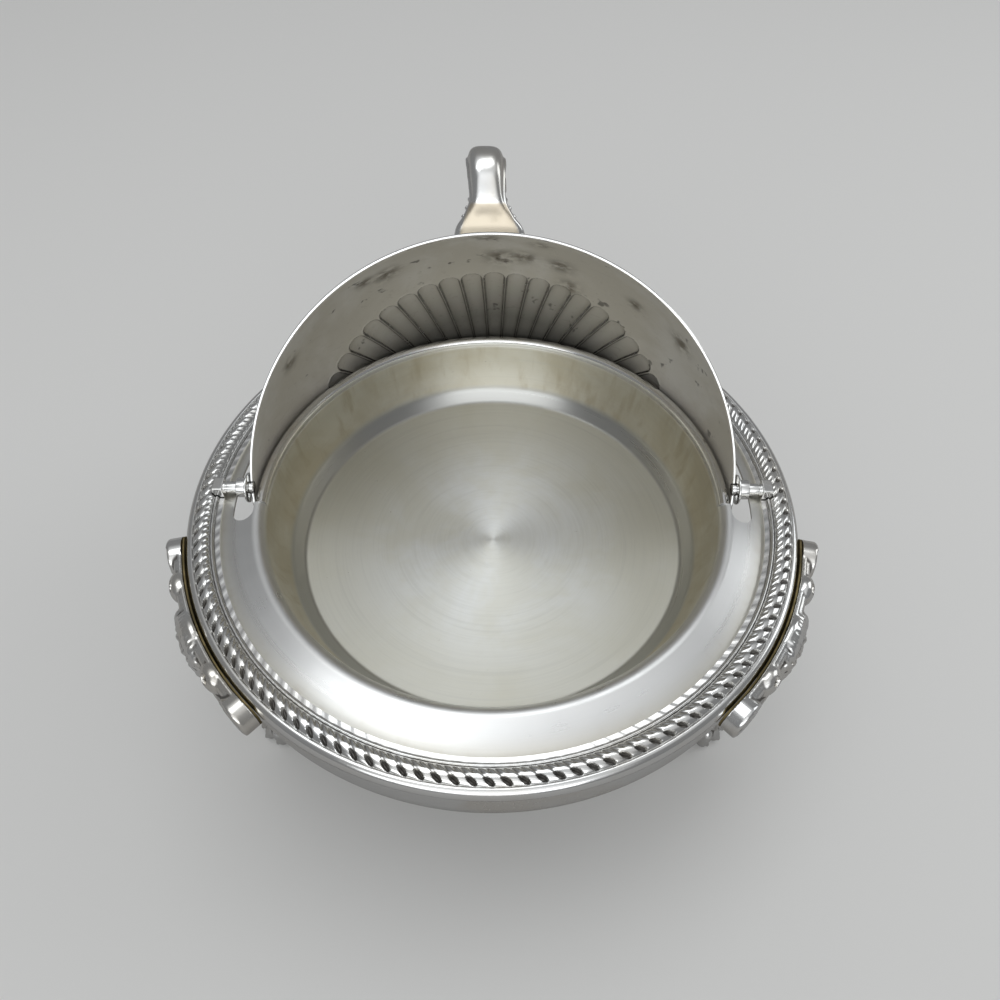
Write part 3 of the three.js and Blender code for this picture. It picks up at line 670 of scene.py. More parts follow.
# %% Finish: cover, outside and inside
def cover_finish(name, inside):
    material, tree, shader, place = start_finish(name)
    old = place_group(tree, patina, {
        "Position": place, "Cloud scale": 26.0 if inside else 34.0,
        "Cloud cover": 0.55 if inside else 0.3,
        "Speck scale": 130.0 if inside else 420.0, "Speck cover": 0.42 if inside else 0.2})
    sink = place_group(tree, hollow_dirt, {
        "Position": place, "Hollow": stored(tree, "hollow"), "Reach": 0.75 if inside else 0.6})
    marks = place_group(tree, hairlines, {"Position": place, "Density": 800.0})
    fine = add(tree, "TexNoise", {"Vector": place, "Scale": 2400.0, "Detail": 3.0})
    clean, warm = (SATIN, SATIN_WARM) if inside else (POLISHED, TARNISH)
    colour = tint(tree, clean, old["Cloud"], 1.0 if inside else 0.35, warm)
    colour = tint(tree, colour, old["Speck"], 0.55, DARK)
    # Hollows painted dark: old polish, and painted shade too.
    colour = tint(tree, colour, sink["Dirt"], 0.7, DARK)
    if inside:
        broken = add(tree, "TexNoise", {"Vector": place, "Scale": 330.0, "Detail": 5.0})
        stain = calc(tree, "MULTIPLY", stored(tree, "stain"),
                     spread(tree, broken.outputs["Fac"], 0.32, 0.58))
        colour = tint(tree, colour, stain, 0.85, STAINED)
        # Painted shade: the inside grows darker toward the cover's middle.
        colour = blend_colour(tree, stored(tree, "gloom"), colour, GLOOMY)
    coat(tree, shader, colour, plus(
        tree, 0.64 if inside else 0.16,
        (old["Cloud"], 0.08), (old["Speck"], 0.2), (marks["Scratch"], 0.1)))
    relief = calc(tree, "SUBTRACT", fine.outputs["Fac"], marks["Scratch"])
    bump(tree, shader, relief, 0.16 if inside else 0.06, 0.03)
    return material


COVER_OUTSIDE = cover_finish("cover_outside_silver", inside=False)
COVER_INSIDE = cover_finish("cover_inside_silver", inside=True)
print("finishes", COVER_OUTSIDE.name, "and", COVER_INSIDE.name)

# %% [markdown]
# ### Border, castings, apron and turned pieces
# These are the same bright plate at four grades of relief. The border and the castings hold
# dark polish in their hollows, painted darker there as shade too, and are rubbed bright on their
# crests, the apron is plain and shows soft brush lines, and the turned pieces have rings from the
# lathe.

# %% Finish: bright plate with dark hollows
def relief_finish(name, roughness, reach, warmth, specks):
    material, tree, shader, place = start_finish(name)
    old = place_group(tree, patina, {
        "Position": place, "Cloud scale": 60.0, "Cloud cover": 0.45,
        "Speck scale": 480.0, "Speck cover": specks})
    sink = place_group(tree, hollow_dirt, {
        "Position": place, "Hollow": stored(tree, "hollow"), "Reach": reach})
    marks = place_group(tree, hairlines, {"Position": place, "Density": 1100.0})
    worn = stored(tree, "worn")
    colour = tint(tree, POLISHED, old["Cloud"], warmth, TARNISH)
    colour = tint(tree, colour, worn, 0.75, WORN)
    colour = tint(tree, colour, old["Speck"], 0.4, DARK)
    # Hollows painted dark: old polish, and painted shade too.
    colour = tint(tree, colour, sink["Dirt"], 0.85, DARK)
    coat(tree, shader, colour, plus(
        tree, roughness, (sink["Dirt"], 0.35), (worn, 0.2), (old["Cloud"], 0.07),
        (sink["Rubbed"], -0.05)))
    pores = add(tree, "TexNoise", {"Vector": place, "Scale": 1500.0, "Detail": 3.0})
    bump(tree, shader, plus(tree, pores.outputs["Fac"], (marks["Scratch"], -0.6)), 0.14, 0.03)
    return material


BORDER_SILVER = relief_finish("border_silver", 0.14, reach=0.85, warmth=0.15, specks=0.15)
CAST_SILVER = relief_finish("cast_silver", 0.2, reach=0.8, warmth=0.3, specks=0.25)
print("finishes", BORDER_SILVER.name, "and", CAST_SILVER.name)


# %% Finish: lathe-turned and spun plate
def turned_finish(name, roughness, fineness, drift):
    material, tree, shader, place = start_finish(name)
    spun = place_group(tree, spun_lines, {
        "Position": place, "Fineness": fineness, "Drift": drift})
    old = place_group(tree, patina, {
        "Position": place, "Cloud scale": 45.0, "Cloud cover": 0.4,
        "Speck scale": 600.0, "Speck cover": 0.2})
    marks = place_group(tree, hairlines, {"Position": place, "Density": 1000.0})
    colour = tint(tree, POLISHED, old["Cloud"], 0.3, TARNISH)
    colour = tint(tree, colour, old["Speck"], 0.35, DARK)
    coat(tree, shader, colour,
         plus(tree, roughness, (old["Cloud"], 0.08), (marks["Scratch"], 0.08)))
    bump(tree, shader, plus(tree, spun["Line"], (marks["Scratch"], -0.5)), 0.12, 0.03)
    return material


APRON_SILVER = turned_finish("apron_silver", 0.15, fineness=1800.0, drift=1.2)
WIRE_SILVER = turned_finish("wire_silver", 0.13, fineness=2400.0, drift=3.0)
TURNED_SILVER = turned_finish("turned_silver", 0.15, fineness=3000.0, drift=0.5)
print("finishes", APRON_SILVER.name, WIRE_SILVER.name, TURNED_SILVER.name)

# %% [markdown]
# ### Bare brass seats
# The thin plates behind the legs were never plated. Their edges show as a dull gold line, so
# the brass is darkened unevenly and is rougher than the silver.

# %% Finish: brass
BRASS, BRASS_DULL = (0.36, 0.285, 0.14), (0.16, 0.13, 0.065)


def brass_finish():
    material, tree, shader, place = start_finish("seat_brass")
    old = place_group(tree, patina, {
        "Position": place, "Cloud scale": 110.0, "Cloud cover": 0.6,
        "Speck scale": 700.0, "Speck cover": 0.4})
    colour = blend_colour(tree, old["Cloud"], BRASS, BRASS_DULL)
    colour = tint(tree, colour, old["Speck"], 0.6, DARK)
    coat(tree, shader, colour, plus(tree, 0.42, (old["Cloud"], 0.18)))
    grain = add(tree, "TexNoise", {"Vector": place, "Scale": 1800.0, "Detail": 3.0})
    bump(tree, shader, grain.outputs["Fac"], 0.2, 0.03)
    return material


SEAT_BRASS = brass_finish()
print("finish", SEAT_BRASS.name)

# %% [markdown]
# ## The tray
# The flange, the rolled lip, the wall, the step and the floor are one spun sheet. The section
# is a short list of corners with a rounding for each, and the crescent slot that lets the
# cover pass is cut through afterwards with a Boolean modifier, as a saw would cut it.

# %% Tray section
TRAY_GAUGE = 0.9
SEAT_DEPTH = 1.6
WELL_DEPTH = RIM
STEP_TOP_DEPTH, STEP_FOOT_DEPTH = 16.4, 19.8
LIP_ROUND = 2.9
LIP_CREST = 0.5
FLANGE_LEAN = math.radians(14)

lip_r, lip_z = WELL_R - 0.6 + LIP_ROUND, LIP_CREST - LIP_ROUND
lip = [(lip_r + LIP_ROUND * math.cos(a), lip_z + LIP_ROUND * math.sin(a), 0)
       for a in np.linspace(math.pi / 2 - FLANGE_LEAN, math.pi, 20)]
tray_corners = [
    (TRAY_R, -SEAT_DEPTH, 0),
    (BORDER_IN + 0.1, -SEAT_DEPTH, 0.4),
    *lip,
    ((WELL_R + STEP_TOP_R) / 2 + 0.9, (lip_z - STEP_TOP_DEPTH) / 2, 6.0),
    (STEP_TOP_R, -STEP_TOP_DEPTH, 0.9),
    (STEP_FOOT_R, -STEP_FOOT_DEPTH, 0.9),
    ((STEP_FOOT_R + 16) / 2, -(STEP_FOOT_DEPTH + 2 * WELL_DEPTH) / 3, 12.0),
    (16, -WELL_DEPTH, 7.0),
    (0, -WELL_DEPTH, 0),
]
tray_section = sheet(rounded(tray_corners, 8), TRAY_GAUGE)
print("the tray's section has", len(tray_section), "points")


# %% Cut the slot and make the tray
def prism(name, outline, low, high):
    """A cutter: an outline in the plane of the rim, from low to high."""
    count = len(outline)
    points = np.array([(x, y, z) for z in (low, high) for x, y in outline], float)
    sides = [[j, (j + 1) % count, count + (j + 1) % count, count + j] for j in range(count)]
    mesh = bpy.data.meshes.new(name)
    mesh.from_pydata(((points + (0, 0, RIM)) * MM).tolist(), [],
                     [*sides, list(range(count))[::-1], list(range(count, 2 * count))])
    return finish_mesh(name, mesh)


def arc(r, start, stop, steps, cx=0.0, cy=0.0):
    return [(cx + r * math.cos(a), cy + r * math.sin(a)) for a in np.linspace(start, stop, steps)]


def cut_away(piece, *cutters):
    """Applies Boolean cuts and removes the cutters."""
    for cutter in cutters:
        modifier = piece.modifiers.new("cut", "BOOLEAN")
        modifier.operation = "DIFFERENCE"
        modifier.solver = "EXACT"
        modifier.object = cutter
    bpy.context.view_layer.update()
    graph = bpy.context.evaluated_depsgraph_get()
    mesh = bpy.data.meshes.new_from_object(piece.evaluated_get(graph))
    piece.modifiers.clear()
    piece.data = mesh
    mesh.shade_smooth()
    mesh.set_sharp_from_angle(angle=SHARP)
    for cutter in cutters:
        bpy.data.objects.remove(cutter)
    return piece


CUT_LOW, CUT_HIGH = -6, 3
slot_end = math.radians(6.3)
slot_middle, slot_half = (SLOT_R + BEAD_R) / 2, (SLOT_R - BEAD_R) / 2
turn_left = (slot_middle * math.cos(math.pi + slot_end), slot_middle * math.sin(math.pi + slot_end))
left_end = arc(slot_half, math.pi + slot_end, 2 * math.pi + slot_end, 24, *turn_left)[1:-1]
slot_outline = [
    *arc(SLOT_R, -slot_end, math.pi + slot_end, 220), *left_end,
    *arc(BEAD_R, math.pi + slot_end, -slot_end, 220), *[(-x, y) for x, y in left_end[::-1]]]
bead_end = math.radians(4)
seat_outline = [
    *arc(BEAD_R + 0.3, -bead_end, math.pi + bead_end, 220),
    *arc(WELL_R - 2, math.pi + bead_end, -bead_end, 220)]

tray = finish_mesh("spun_tray", mesh_of("spun_tray", skin(spin(tray_section, 360), True, True)))
cut_away(tray, prism("slot_cutter", slot_outline, CUT_LOW, CUT_HIGH),
         prism("seat_cutter", seat_outline, -SEAT_DEPTH, CUT_HIGH))
dress(tray, "dish", "tray_silver", TRAY_SILVER, "tray")

# %% [markdown]
# ## The bead
# Behind the well the sheet's edge would be sharp, so a half-round wire is soldered along it.
# It is a short section swept along an arc, with both ends closed against the tray's lip.

# %% Bead
BEAD_WIDTH, BEAD_MIDDLE_Z, BEAD_RISE = 2.9, -0.75, 1.4
BEAD_JOINT = 0.05
bead_in = BEAD_R - BEAD_WIDTH
bead_middle, bead_half = (BEAD_R + bead_in) / 2, (BEAD_R - bead_in) / 2
bead_top = [(bead_middle + bead_half * math.cos(a), BEAD_MIDDLE_Z + BEAD_RISE * math.sin(a), 0)
            for a in np.linspace(-0.2, math.pi + 0.2, 22)]
bead_corners = [(bead_in + 0.1, -SEAT_DEPTH, 0), (BEAD_R - 0.1, -SEAT_DEPTH, 0.1),
                *bead_top, (bead_in + 0.1, -SEAT_DEPTH, 0)]
bead_section = rounded(bead_corners, 6)[:-1]
bead_stop = bead_end - BEAD_JOINT / BEAD_R
bead_rings = spin(bead_section, 240, -bead_stop, math.pi + bead_stop)
bead = finish_mesh("rim_bead", mesh_of("rim_bead", closed_tube(bead_rings)))
dress(bead, "dish", "wire_silver", WIRE_SILVER, "well_bead")

# %% [markdown]
# ## The rope border
# The border is stamped strip, soldered round the edge: a thin line, a fillet, a groove, a
# rounded rope, and a plain outer bead. The die cut slanted ticks into the rope's inner side
# and teardrop notches into its outer side. Here the height of the strip is a formula of the
# place across it and round it, so one lobe repeats 132 times, and the notches go dark.

# %% Border
ROPE_LOBES = 132
LOBE_COLUMNS = 16
BORDER_RUNS = (1.7, 2.3, 4.2, 5.4, 6.75)
FILLET_R, GROOVE_R, CREST_R, PIT_R, EDGE_R = (BORDER_IN + run for run in BORDER_RUNS)
GROOVE_Z = -0.7
CREST_RISE = 2.0
TICK_DEPTH, TICK_RUN = 0.26, 1.6
VALLEY_DEPTH = 0.15
PIT_HALF = 0.9
CORD_LEAN = -0.24
BELOW_ALL = -9


def half_round(value, middle, inner, outer):
    """A bead of half-round section, one high at its middle, with unequal half widths."""
    half = np.where(value < middle, inner, outer)
    return np.sqrt(np.clip(1 - ((value - middle) / half) ** 2, 0, 1))


def border_top(r, turn):
    """Height of the border's upper face at a radius and a turn counted in lobes."""
    flat = np.interp(r, [BORDER_IN, BORDER_IN + 0.7, FILLET_R, GROOVE_R, BORDER_R],
                     [-SEAT_DEPTH, -1.35, -0.9, GROOVE_Z, -2.3])
    thin_line = 0.3 * half_round(r, BORDER_IN + 0.85, 0.18, 0.18)
    fillet = flat + thin_line + 1.1 * half_round(r, FILLET_R, 0.5, 0.6)
    rope_half = half_round(r, CREST_R, 2.0, 2.45)
    past_rope = (r > CREST_R) & (rope_half == 0)
    rope = np.where(past_rope, BELOW_ALL, GROOVE_Z + CREST_RISE * rope_half)
    edge = -2.4 + 2.75 * half_round(r, EDGE_R, 0.7, BORDER_R - EDGE_R + 0.02)

    tick_share = np.clip((r - GROOVE_R - 0.05) / TICK_RUN, 0, 1)
    phase = turn + CORD_LEAN * (r - PIT_R)
    ticks = np.sin(math.pi * tick_share) ** 0.7 * (0.5 + 0.5 * np.cos(4 * math.pi * phase)) ** 1.4
    rope = rope - TICK_DEPTH * ticks

    share = (r - PIT_R) / PIT_HALF
    off = np.abs(phase - np.round(phase))
    pit = np.clip(1 - (off / 0.25) ** 2 - share ** 2, 0, 1) ** 0.6
    valley = np.exp(-(off / 0.12) ** 2) * np.clip((r - CREST_R + 1.6) / 1.4, 0, 1)
    rope = rope - VALLEY_DEPTH * valley + 0.06 * np.clip(off * 4 - 0.6, 0, 1)
    rope = rope - pit * np.maximum(rope + 0.7, 0)
    return np.maximum.reduce([fillet, rope, edge])


border_r = np.concatenate([
    np.linspace(BORDER_IN, GROOVE_R, 24, endpoint=False),
    np.linspace(GROOVE_R, EDGE_R, 46, endpoint=False),
    BORDER_R - (BORDER_R - EDGE_R) * np.cos(np.linspace(0, math.pi / 2, 14)) ** 1.3])
border_turn = np.arange(ROPE_LOBES * LOBE_COLUMNS) / LOBE_COLUMNS
grid_r, grid_turn = np.broadcast_arrays(border_r[None, :], border_turn[:, None])
border_azimuth = grid_turn * 2 * math.pi / ROPE_LOBES
upper = np.stack([grid_r * np.cos(border_azimuth), grid_r * np.sin(border_azimuth),
                  border_top(grid_r, grid_turn)], -1)
under_line = [(BORDER_R - 0.2, -2.5), (BORDER_R - 0.8, -2.2), (TRAY_R + 0.3, -SEAT_DEPTH),
              (BORDER_IN, -SEAT_DEPTH)]
under = np.stack([np.stack([r * np.cos(border_azimuth[:, 0]), r * np.sin(border_azimuth[:, 0]),
                            z + 0 * border_turn], -1) for r, z in under_line], 1)
border = finish_mesh("stamped_border", mesh_of(
    "stamped_border", skin(np.concatenate([upper, under], 1), True, True)))

POST_LENGTH, POST_HALF, POST_RISE = 2.7, 2.15, 1.8
notch_half = POST_HALF + 0.3
notch_in, notch_out = BORDER_IN - 4, BORDER_IN + POST_LENGTH + 0.3
notches = [prism(f"notch_{side}", [(side * notch_in, -notch_half), (side * notch_out, -notch_half),
                                   (side * notch_out, notch_half), (side * notch_in, notch_half)],
                 -CUT_HIGH, CUT_HIGH) for side in (1, -1)]
cut_away(border, *notches)
measure_hollows(border.data, rounds=10, depth=0.3)
dress(border, "dish", "border_silver", BORDER_SILVER, "rope_border")

# %% [markdown]
# ## The apron
# A plain spun skirt under the border hides the edge of the tray and gives the legs something
# to stand against. Its lower edge is turned in.

# %% Apron
APRON_GAUGE = 0.8
APRON_R = BORDER_R - 0.4
APRON_DEPTH = -(lowest("apron", 2) - RIM)
under_tray = -SEAT_DEPTH - TRAY_GAUGE
apron_corners = [
    (APRON_R - 6, under_tray, 0), (APRON_R - 0.7, under_tray, 0.6),
    (APRON_R, under_tray - 0.7, 0.6), (APRON_R, -APRON_DEPTH * 0.7, 4.0),
    (APRON_R - 1.3, -APRON_DEPTH + 0.05, 0)]
apron_section = sheet(rounded(apron_corners, 8), -APRON_GAUGE)
apron = finish_mesh("spun_apron", mesh_of("spun_apron", skin(spin(apron_section, 288), True, True)))
dress(apron, "dish", "apron_silver", APRON_SILVER, "apron")

# %% [markdown]
# ## Posts, pins, ears and collars
# The pivots are turned pieces on one line from side to side. Each is a short profile of
# distance along the line and radius, spun about it. The right-hand set is drawn, and the
# left-hand set is the same profile turned half way round.

# %% Turned pieces along the pivot line
def turned_piece(name, profile, side, steps=64):
    """Spins (along, radius, round) corners about the pivot line; side is 1 or -1."""
    grid = lathe(profile, steps) * (side, 1, 1) + (0, 0, PIVOT_RISE)
    is_ring = profile[0][1] > 0
    return finish_mesh(name, mesh_of(name, skin(grid, True, is_ring)))


BORE = 1.7
PIN_R, TAIL_R, LINE_R, TIP_R = 1.4, 1.6, 1.42, 1.0
EAR_X, EAR_LENGTH = COVER_OUT + 0.1, 0.5
COLLAR_X, COLLAR_LENGTH = EAR_X + EAR_LENGTH + 0.15, 2.5
SIDES = {"right": 1, "left": -1}


def bushing(start, length, r, ease):
    return [(start, BORE, 0), (start, r, ease), (start + length, r, ease),
            (start + length, BORE, 0)]


pin_start, shoulder_x = BEAD_R + 0.6, COLLAR_X + COLLAR_LENGTH + 0.25
PIN = [(pin_start, 0, 0), (pin_start, PIN_R, 0.3), (shoulder_x, PIN_R, 0.05),
       (shoulder_x, TAIL_R, 0.1), (BORDER_IN - 0.9, TAIL_R, 0.1), (BORDER_IN - 0.8, LINE_R, 0.05),
       (BORDER_IN - 0.5, LINE_R, 0.05), (BORDER_IN - 0.4, TAIL_R, 0.1), (BORDER_IN, TAIL_R, 0),
       (BORDER_IN, TIP_R, 0), (BORDER_IN + 2, TIP_R, 0.1), (BORDER_IN + 2, 0, 0)]
EAR = bushing(EAR_X, EAR_LENGTH, 4, 0.2)
COLLAR = bushing(COLLAR_X, COLLAR_LENGTH, 2.6, 0.18)

for side, sign in SIDES.items():
    pin = turned_piece(f"turned_pin_{side}", PIN, sign)
    dress(pin, "dish", "turned_silver", TURNED_SILVER, f"pivot_pin_{side}")
    ear = turned_piece(f"round_ear_{side}", EAR, sign)
    dress(ear, "cover", "cover_silver", COVER_OUTSIDE, f"cover_ear_{side}")
    collar = turned_piece(f"turned_collar_{side}", COLLAR, sign)
    dress(collar, "cover", "turned_silver", TURNED_SILVER, f"cover_collar_{side}")


# %% Posts
POST_BORE = 1.3


def post(name, sign):
    """A small block, eased on every edge and bored for the pin's tail."""
    low, high = -SEAT_DEPTH, PIVOT_RISE + POST_RISE
    round_off, flat = 0.55, 0.62
    outline = rounded([
        (0, low, 0), (POST_HALF, low, 0), (POST_HALF, high - flat, 0), (POST_HALF, high, round_off),
        (POST_HALF - flat, high, 0), (flat - POST_HALF, high, 0), (-POST_HALF, high, round_off),
        (-POST_HALF, high - flat, 0), (-POST_HALF, low, 0), (0, low, 0)], 6)[:-1]
    depths = [(0, 0.25), (0.07, 0.07), (0.25, 0), (0.32, 0), (POST_LENGTH - 0.32, 0),
              (POST_LENGTH - 0.25, 0), (POST_LENGTH - 0.07, 0.07), (POST_LENGTH, 0.25)]
    middle = np.array((0, (low + high) / 2))
    slices = []
    for depth, shrink in depths:
        toward = middle - outline
        ring = outline + toward / np.linalg.norm(toward, axis=1)[:, None] * shrink
        x = sign * (BORDER_IN + depth)
        slices.append(np.stack([np.full(len(ring), x), ring[:, 0], ring[:, 1]], 1))
    block = finish_mesh(name, mesh_of(name, closed_tube(np.array(slices))))
    drill = turned_piece("drill", [
        (BORDER_IN - 1, 0, 0), (BORDER_IN - 1, POST_BORE, 0),
        (BORDER_IN + 4, POST_BORE, 0), (BORDER_IN + 4, 0, 0)], sign, 32)
    return cut_away(block, drill)


for side, sign in SIDES.items():
    dress(post(f"pivot_block_{side}", sign), "dish", "turned_silver", TURNED_SILVER,
          f"pivot_post_{side}")

# %% [markdown]
# ## The fluted cover
# The cover was raised as a half sphere, then its flutes were struck from inside, so each one
# bulges outward and leaves a thin ridge between itself and the next. Both faces of the sheet
# follow the same swelling. Each flute has a round end, which is measured as the distance from
# a point to the flute's middle line, in millimetres, divided by its half width.

# %% Cover surface
FLUTES = 50
FLUTE_RISE = 1.3
FLUTE_COLUMNS = 16
FLUTE_OUTER, FLUTE_INNER = math.radians(58.5), math.radians(14)
RIM_EASE = 0.22


def flute_reach(polar, turn):
    """0 on a flute's middle line and 1 at its edge, and the flute's half width."""
    half = math.pi * COVER_OUT * np.sin(polar) / FLUTES
    off = (turn - np.round(turn)) * 2 * half
    end_half = math.pi * COVER_OUT * math.sin(FLUTE_OUTER) / FLUTES
    past = np.maximum((polar - FLUTE_OUTER) * COVER_OUT + end_half, 0)
    inner_half = math.pi * COVER_OUT * math.sin(FLUTE_INNER) / FLUTES
    before = np.maximum((FLUTE_INNER - polar) * COVER_OUT + inner_half, 0)
    return np.hypot(off, np.maximum(past, before)) / np.maximum(half * 0.94, 0.3), half


def swelling(polar, turn):
    """How far a flute swells at a polar angle and a turn counted in flutes."""
    reach_here, half = flute_reach(polar, turn)
    channel = np.clip(1 - reach_here ** 2.2, 0, 1) ** 0.72
    lip = 0.14 * np.exp(-((reach_here - 1.04) / 0.07) ** 2)
    return (FLUTE_RISE * channel - lip) * np.clip(half / 3.0, 0.35, 1)


polar = np.concatenate([
    np.linspace(0, FLUTE_INNER * 0.8, 8, endpoint=False),
    np.linspace(FLUTE_INNER * 0.8, FLUTE_INNER * 1.5, 12, endpoint=False),
    np.linspace(FLUTE_INNER * 1.5, FLUTE_OUTER * 0.9, 26, endpoint=False),
    np.linspace(FLUTE_OUTER * 0.9, FLUTE_OUTER * 1.02, 22, endpoint=False),
    np.linspace(FLUTE_OUTER * 1.02, math.pi / 2, 20)])
within = np.sin(math.pi * (np.arange(FLUTE_COLUMNS) / FLUTE_COLUMNS - 0.5)) / 2
flute_turn = (np.arange(FLUTES)[:, None] + within[None, :]).ravel()
grid_polar, grid_flute = np.broadcast_arrays(polar[None, :], flute_turn[:, None])
swell = swelling(grid_polar, grid_flute)
cover_azimuth = grid_flute * 2 * math.pi / FLUTES - math.pi / 2


def cover_side(base):
    r = base + swell
    return np.stack([r * np.sin(grid_polar) * np.cos(cover_azimuth),
                     r * np.sin(grid_polar) * np.sin(cover_azimuth),
                     r * np.cos(grid_polar)], -1)


def rolled(points, degrees):
    """Turns points about the pin line; both are measured from it."""
    angle = math.radians(degrees)
    x, y, z = np.moveaxis(points, -1, 0)
    return np.stack([x, y * math.cos(angle) - z * math.sin(angle),
                     y * math.sin(angle) + z * math.cos(angle)], -1)


def rolled_back(points):
    """Turns points drawn on the closed cover to where the open cover has them."""
    return rolled(points, -COVER_OPEN) + (0, 0, PIVOT_RISE)


outside, inside = cover_side(COVER_OUT), cover_side(COVER_IN)
edge_ease = [outside[:, -1:] * (1 - t) + inside[:, -1:] * t for t in (0.25, 0.75)]
for face in (outside, inside):
    face[:, -1:, 2] += RIM_EASE
shell = np.concatenate([outside, *edge_ease, inside[:, ::-1]], 1)
cover = finish_mesh("fluted_cover", mesh_of(
    "fluted_cover", skin(rolled_back(shell), True, False)))
print("the cover swells up to", round(float(swell.max()), 2), "mm at its flutes")

# %% Cover: pin holes
BORE_LINE = [(COVER_IN - 5, 0, 0), (COVER_IN - 5, BORE, 0),
             (COVER_OUT + 5, BORE, 0), (COVER_OUT + 5, 0, 0)]
cut_away(cover, *[turned_piece(f"bore_{side}", BORE_LINE, sign, 32)
                  for side, sign in SIDES.items()])
print("the cover has", len(cover.data.polygons), "faces with its pin holes")

# %% [markdown]
# ### Where the cover is dark
# Three numbers are kept at each point of the cover. Old polish and painted shade lie along the
# edges of the flutes, stains lie where they were seen, and painted shade deepens toward the
# cover's middle. The faces that look inward get the satin finish.

# %% Cover: dark hollows, painted shade, stains and the inside finish
STAINS = [(-28, 74, 2.6), (-33, 77, 1.8), (2, 67, 2.8), (8, 68, 2.2), (18, 68, 2.2), (23, 59, 2.0),
          (-2, 84, 2.4), (11, 80, 1.6), (40, 71, 1.5), (54, 78, 2.2), (-60, 80, 1.6)]
GLOOM_RUN = math.radians(19)
FACING_IN = -0.6
closed_place = rolled(points_of(cover.data) - (0, 0, PIVOT_RISE), COVER_OPEN)
closed_polar = np.arccos(np.clip(closed_place[:, 2] / np.linalg.norm(closed_place, axis=1), -1, 1))
closed_turn = (np.arctan2(closed_place[:, 1], closed_place[:, 0]) / (2 * math.pi) + 0.25) * FLUTES
outline, _ = flute_reach(closed_polar, closed_turn)
# Flute edges are painted dark: old polish, and painted shade too.
store(cover.data, "hollow", 0.3 + 0.7 * np.exp(-((outline - 0.95) / 0.12) ** 2))
# Painted shade: darker toward the cover's middle, below the ends of the flutes.
deeper = np.clip((FLUTE_OUTER - closed_polar) / GLOOM_RUN, 0, 1)
store(cover.data, "gloom", np.where(outline < 1, 0.05, 0) + 0.78 * deeper ** 1.4)
stained = np.zeros(len(closed_place))
for azimuth_deg, polar_deg, size in STAINS:
    a, b = math.radians(azimuth_deg - 90), math.radians(polar_deg)
    spot = COVER_IN * np.array([math.sin(b) * math.cos(a), math.sin(b) * math.sin(a), math.cos(b)])
    apart = np.linalg.norm(closed_place - spot, axis=1)
    stained = np.maximum(stained, np.exp(-(apart / size / 1.5) ** 2))
store(cover.data, "stain", stained)
dress(cover, "cover", "cover_silver", [COVER_OUTSIDE, COVER_INSIDE], "cover_dome")
centre = Vector((0, 0, PIVOT * MM))
for face in cover.data.polygons:
    from_centre = face.center - centre
    face.material_index = int(face.normal.dot(from_centre.normalized()) < FACING_IN)
print(sum(f.material_index for f in cover.data.polygons), "faces carry the inside finish")

# %% [markdown]
# ## Soft strokes for castings
# The legs and the handle were modelled in wax. The nearest thing here is to lay down balls
# and tapering strokes that overlap, then let a voxel remesh melt them into one skin, and
# smooth it a little. Strokes follow a curve through a few points and taper by the radii given
# along it.

# %% Helper: balls, strokes and melting
def ball(place, radii, steps=20):
    """An ellipsoid with its radii along the three axes."""
    polar_angle = np.linspace(0, math.pi, steps // 2 + 2)[None, :]
    angle = np.linspace(0, 2 * math.pi, steps, endpoint=False)[:, None]
    unit = np.stack([np.sin(polar_angle) * np.cos(angle), np.sin(polar_angle) * np.sin(angle),
                     np.cos(polar_angle) + 0 * angle], -1)
    return skin(unit * np.array(radii) + np.array(place), True, False)


def through(points, count):
    """A smooth line of count places through a few points (Catmull-Rom)."""
    points = np.array(points, float)
    padded = np.vstack([2 * points[0] - points[1], points, 2 * points[-1] - points[-2]])
    t = np.linspace(0, len(points) - 1 - 1e-9, count)
    i, f = t.astype(int), (t % 1)[:, None]
    p0, p1, p2, p3 = (padded[i + k] for k in range(4))
    return 0.5 * (2 * p1 + (p2 - p0) * f + (2 * p0 - 5 * p1 + 4 * p2 - p3) * f ** 2
                  + (3 * p1 - p0 - 3 * p2 + p3) * f ** 3)


def stroke(points, radii, count=16, sides=10):
    """A tapering round stroke along a smooth line; the radii are spread evenly over it."""
    line = through(points, count)
    radius = np.interp(np.linspace(0, 1, count), np.linspace(0, 1, len(radii)), radii)
    ahead_here = np.gradient(line, axis=0)
    ahead_here /= np.linalg.norm(ahead_here, axis=1)[:, None]
    out = np.tile(np.array([1.0, 0.05, 0.08]), (count, 1))
    side_way = np.cross(ahead_here, out)
    side_way /= np.linalg.norm(side_way, axis=1)[:, None]
    out = np.cross(side_way, ahead_here)
    angle = np.linspace(0, 2 * math.pi, sides, endpoint=False)
    return closed_tube(line[:, None] + radius[:, None, None]
                       * (np.cos(angle)[None, :, None] * out[:, None]
                          + np.sin(angle)[None, :, None] * side_way[:, None]))


def melt(name, skins, voxel, smoothing):
    """Remeshes overlapping skins into one and smooths it; sizes in millimetres."""
    rough_mesh = mesh_of(name, *skins)
    work = bmesh.new()
    work.from_mesh(rough_mesh)
    bmesh.ops.recalc_face_normals(work, faces=work.faces)
    work.to_mesh(rough_mesh)
    work.free()
    rough_piece = put(name, rough_mesh)
    remesh = rough_piece.modifiers.new("melt", "REMESH")
    remesh.mode = "VOXEL"
    remesh.voxel_size = voxel * MM
    remesh.use_smooth_shade = True
    soften = rough_piece.modifiers.new("soften", "SMOOTH")
    soften.factor = 0.5
    soften.iterations = smoothing
    bpy.context.view_layer.update()
    graph = bpy.context.evaluated_depsgraph_get()
    mesh = bpy.data.meshes.new_from_object(rough_piece.evaluated_get(graph))
    bpy.data.objects.remove(rough_piece)
    mesh.shade_smooth()
    return mesh


print("modelling helpers ready")

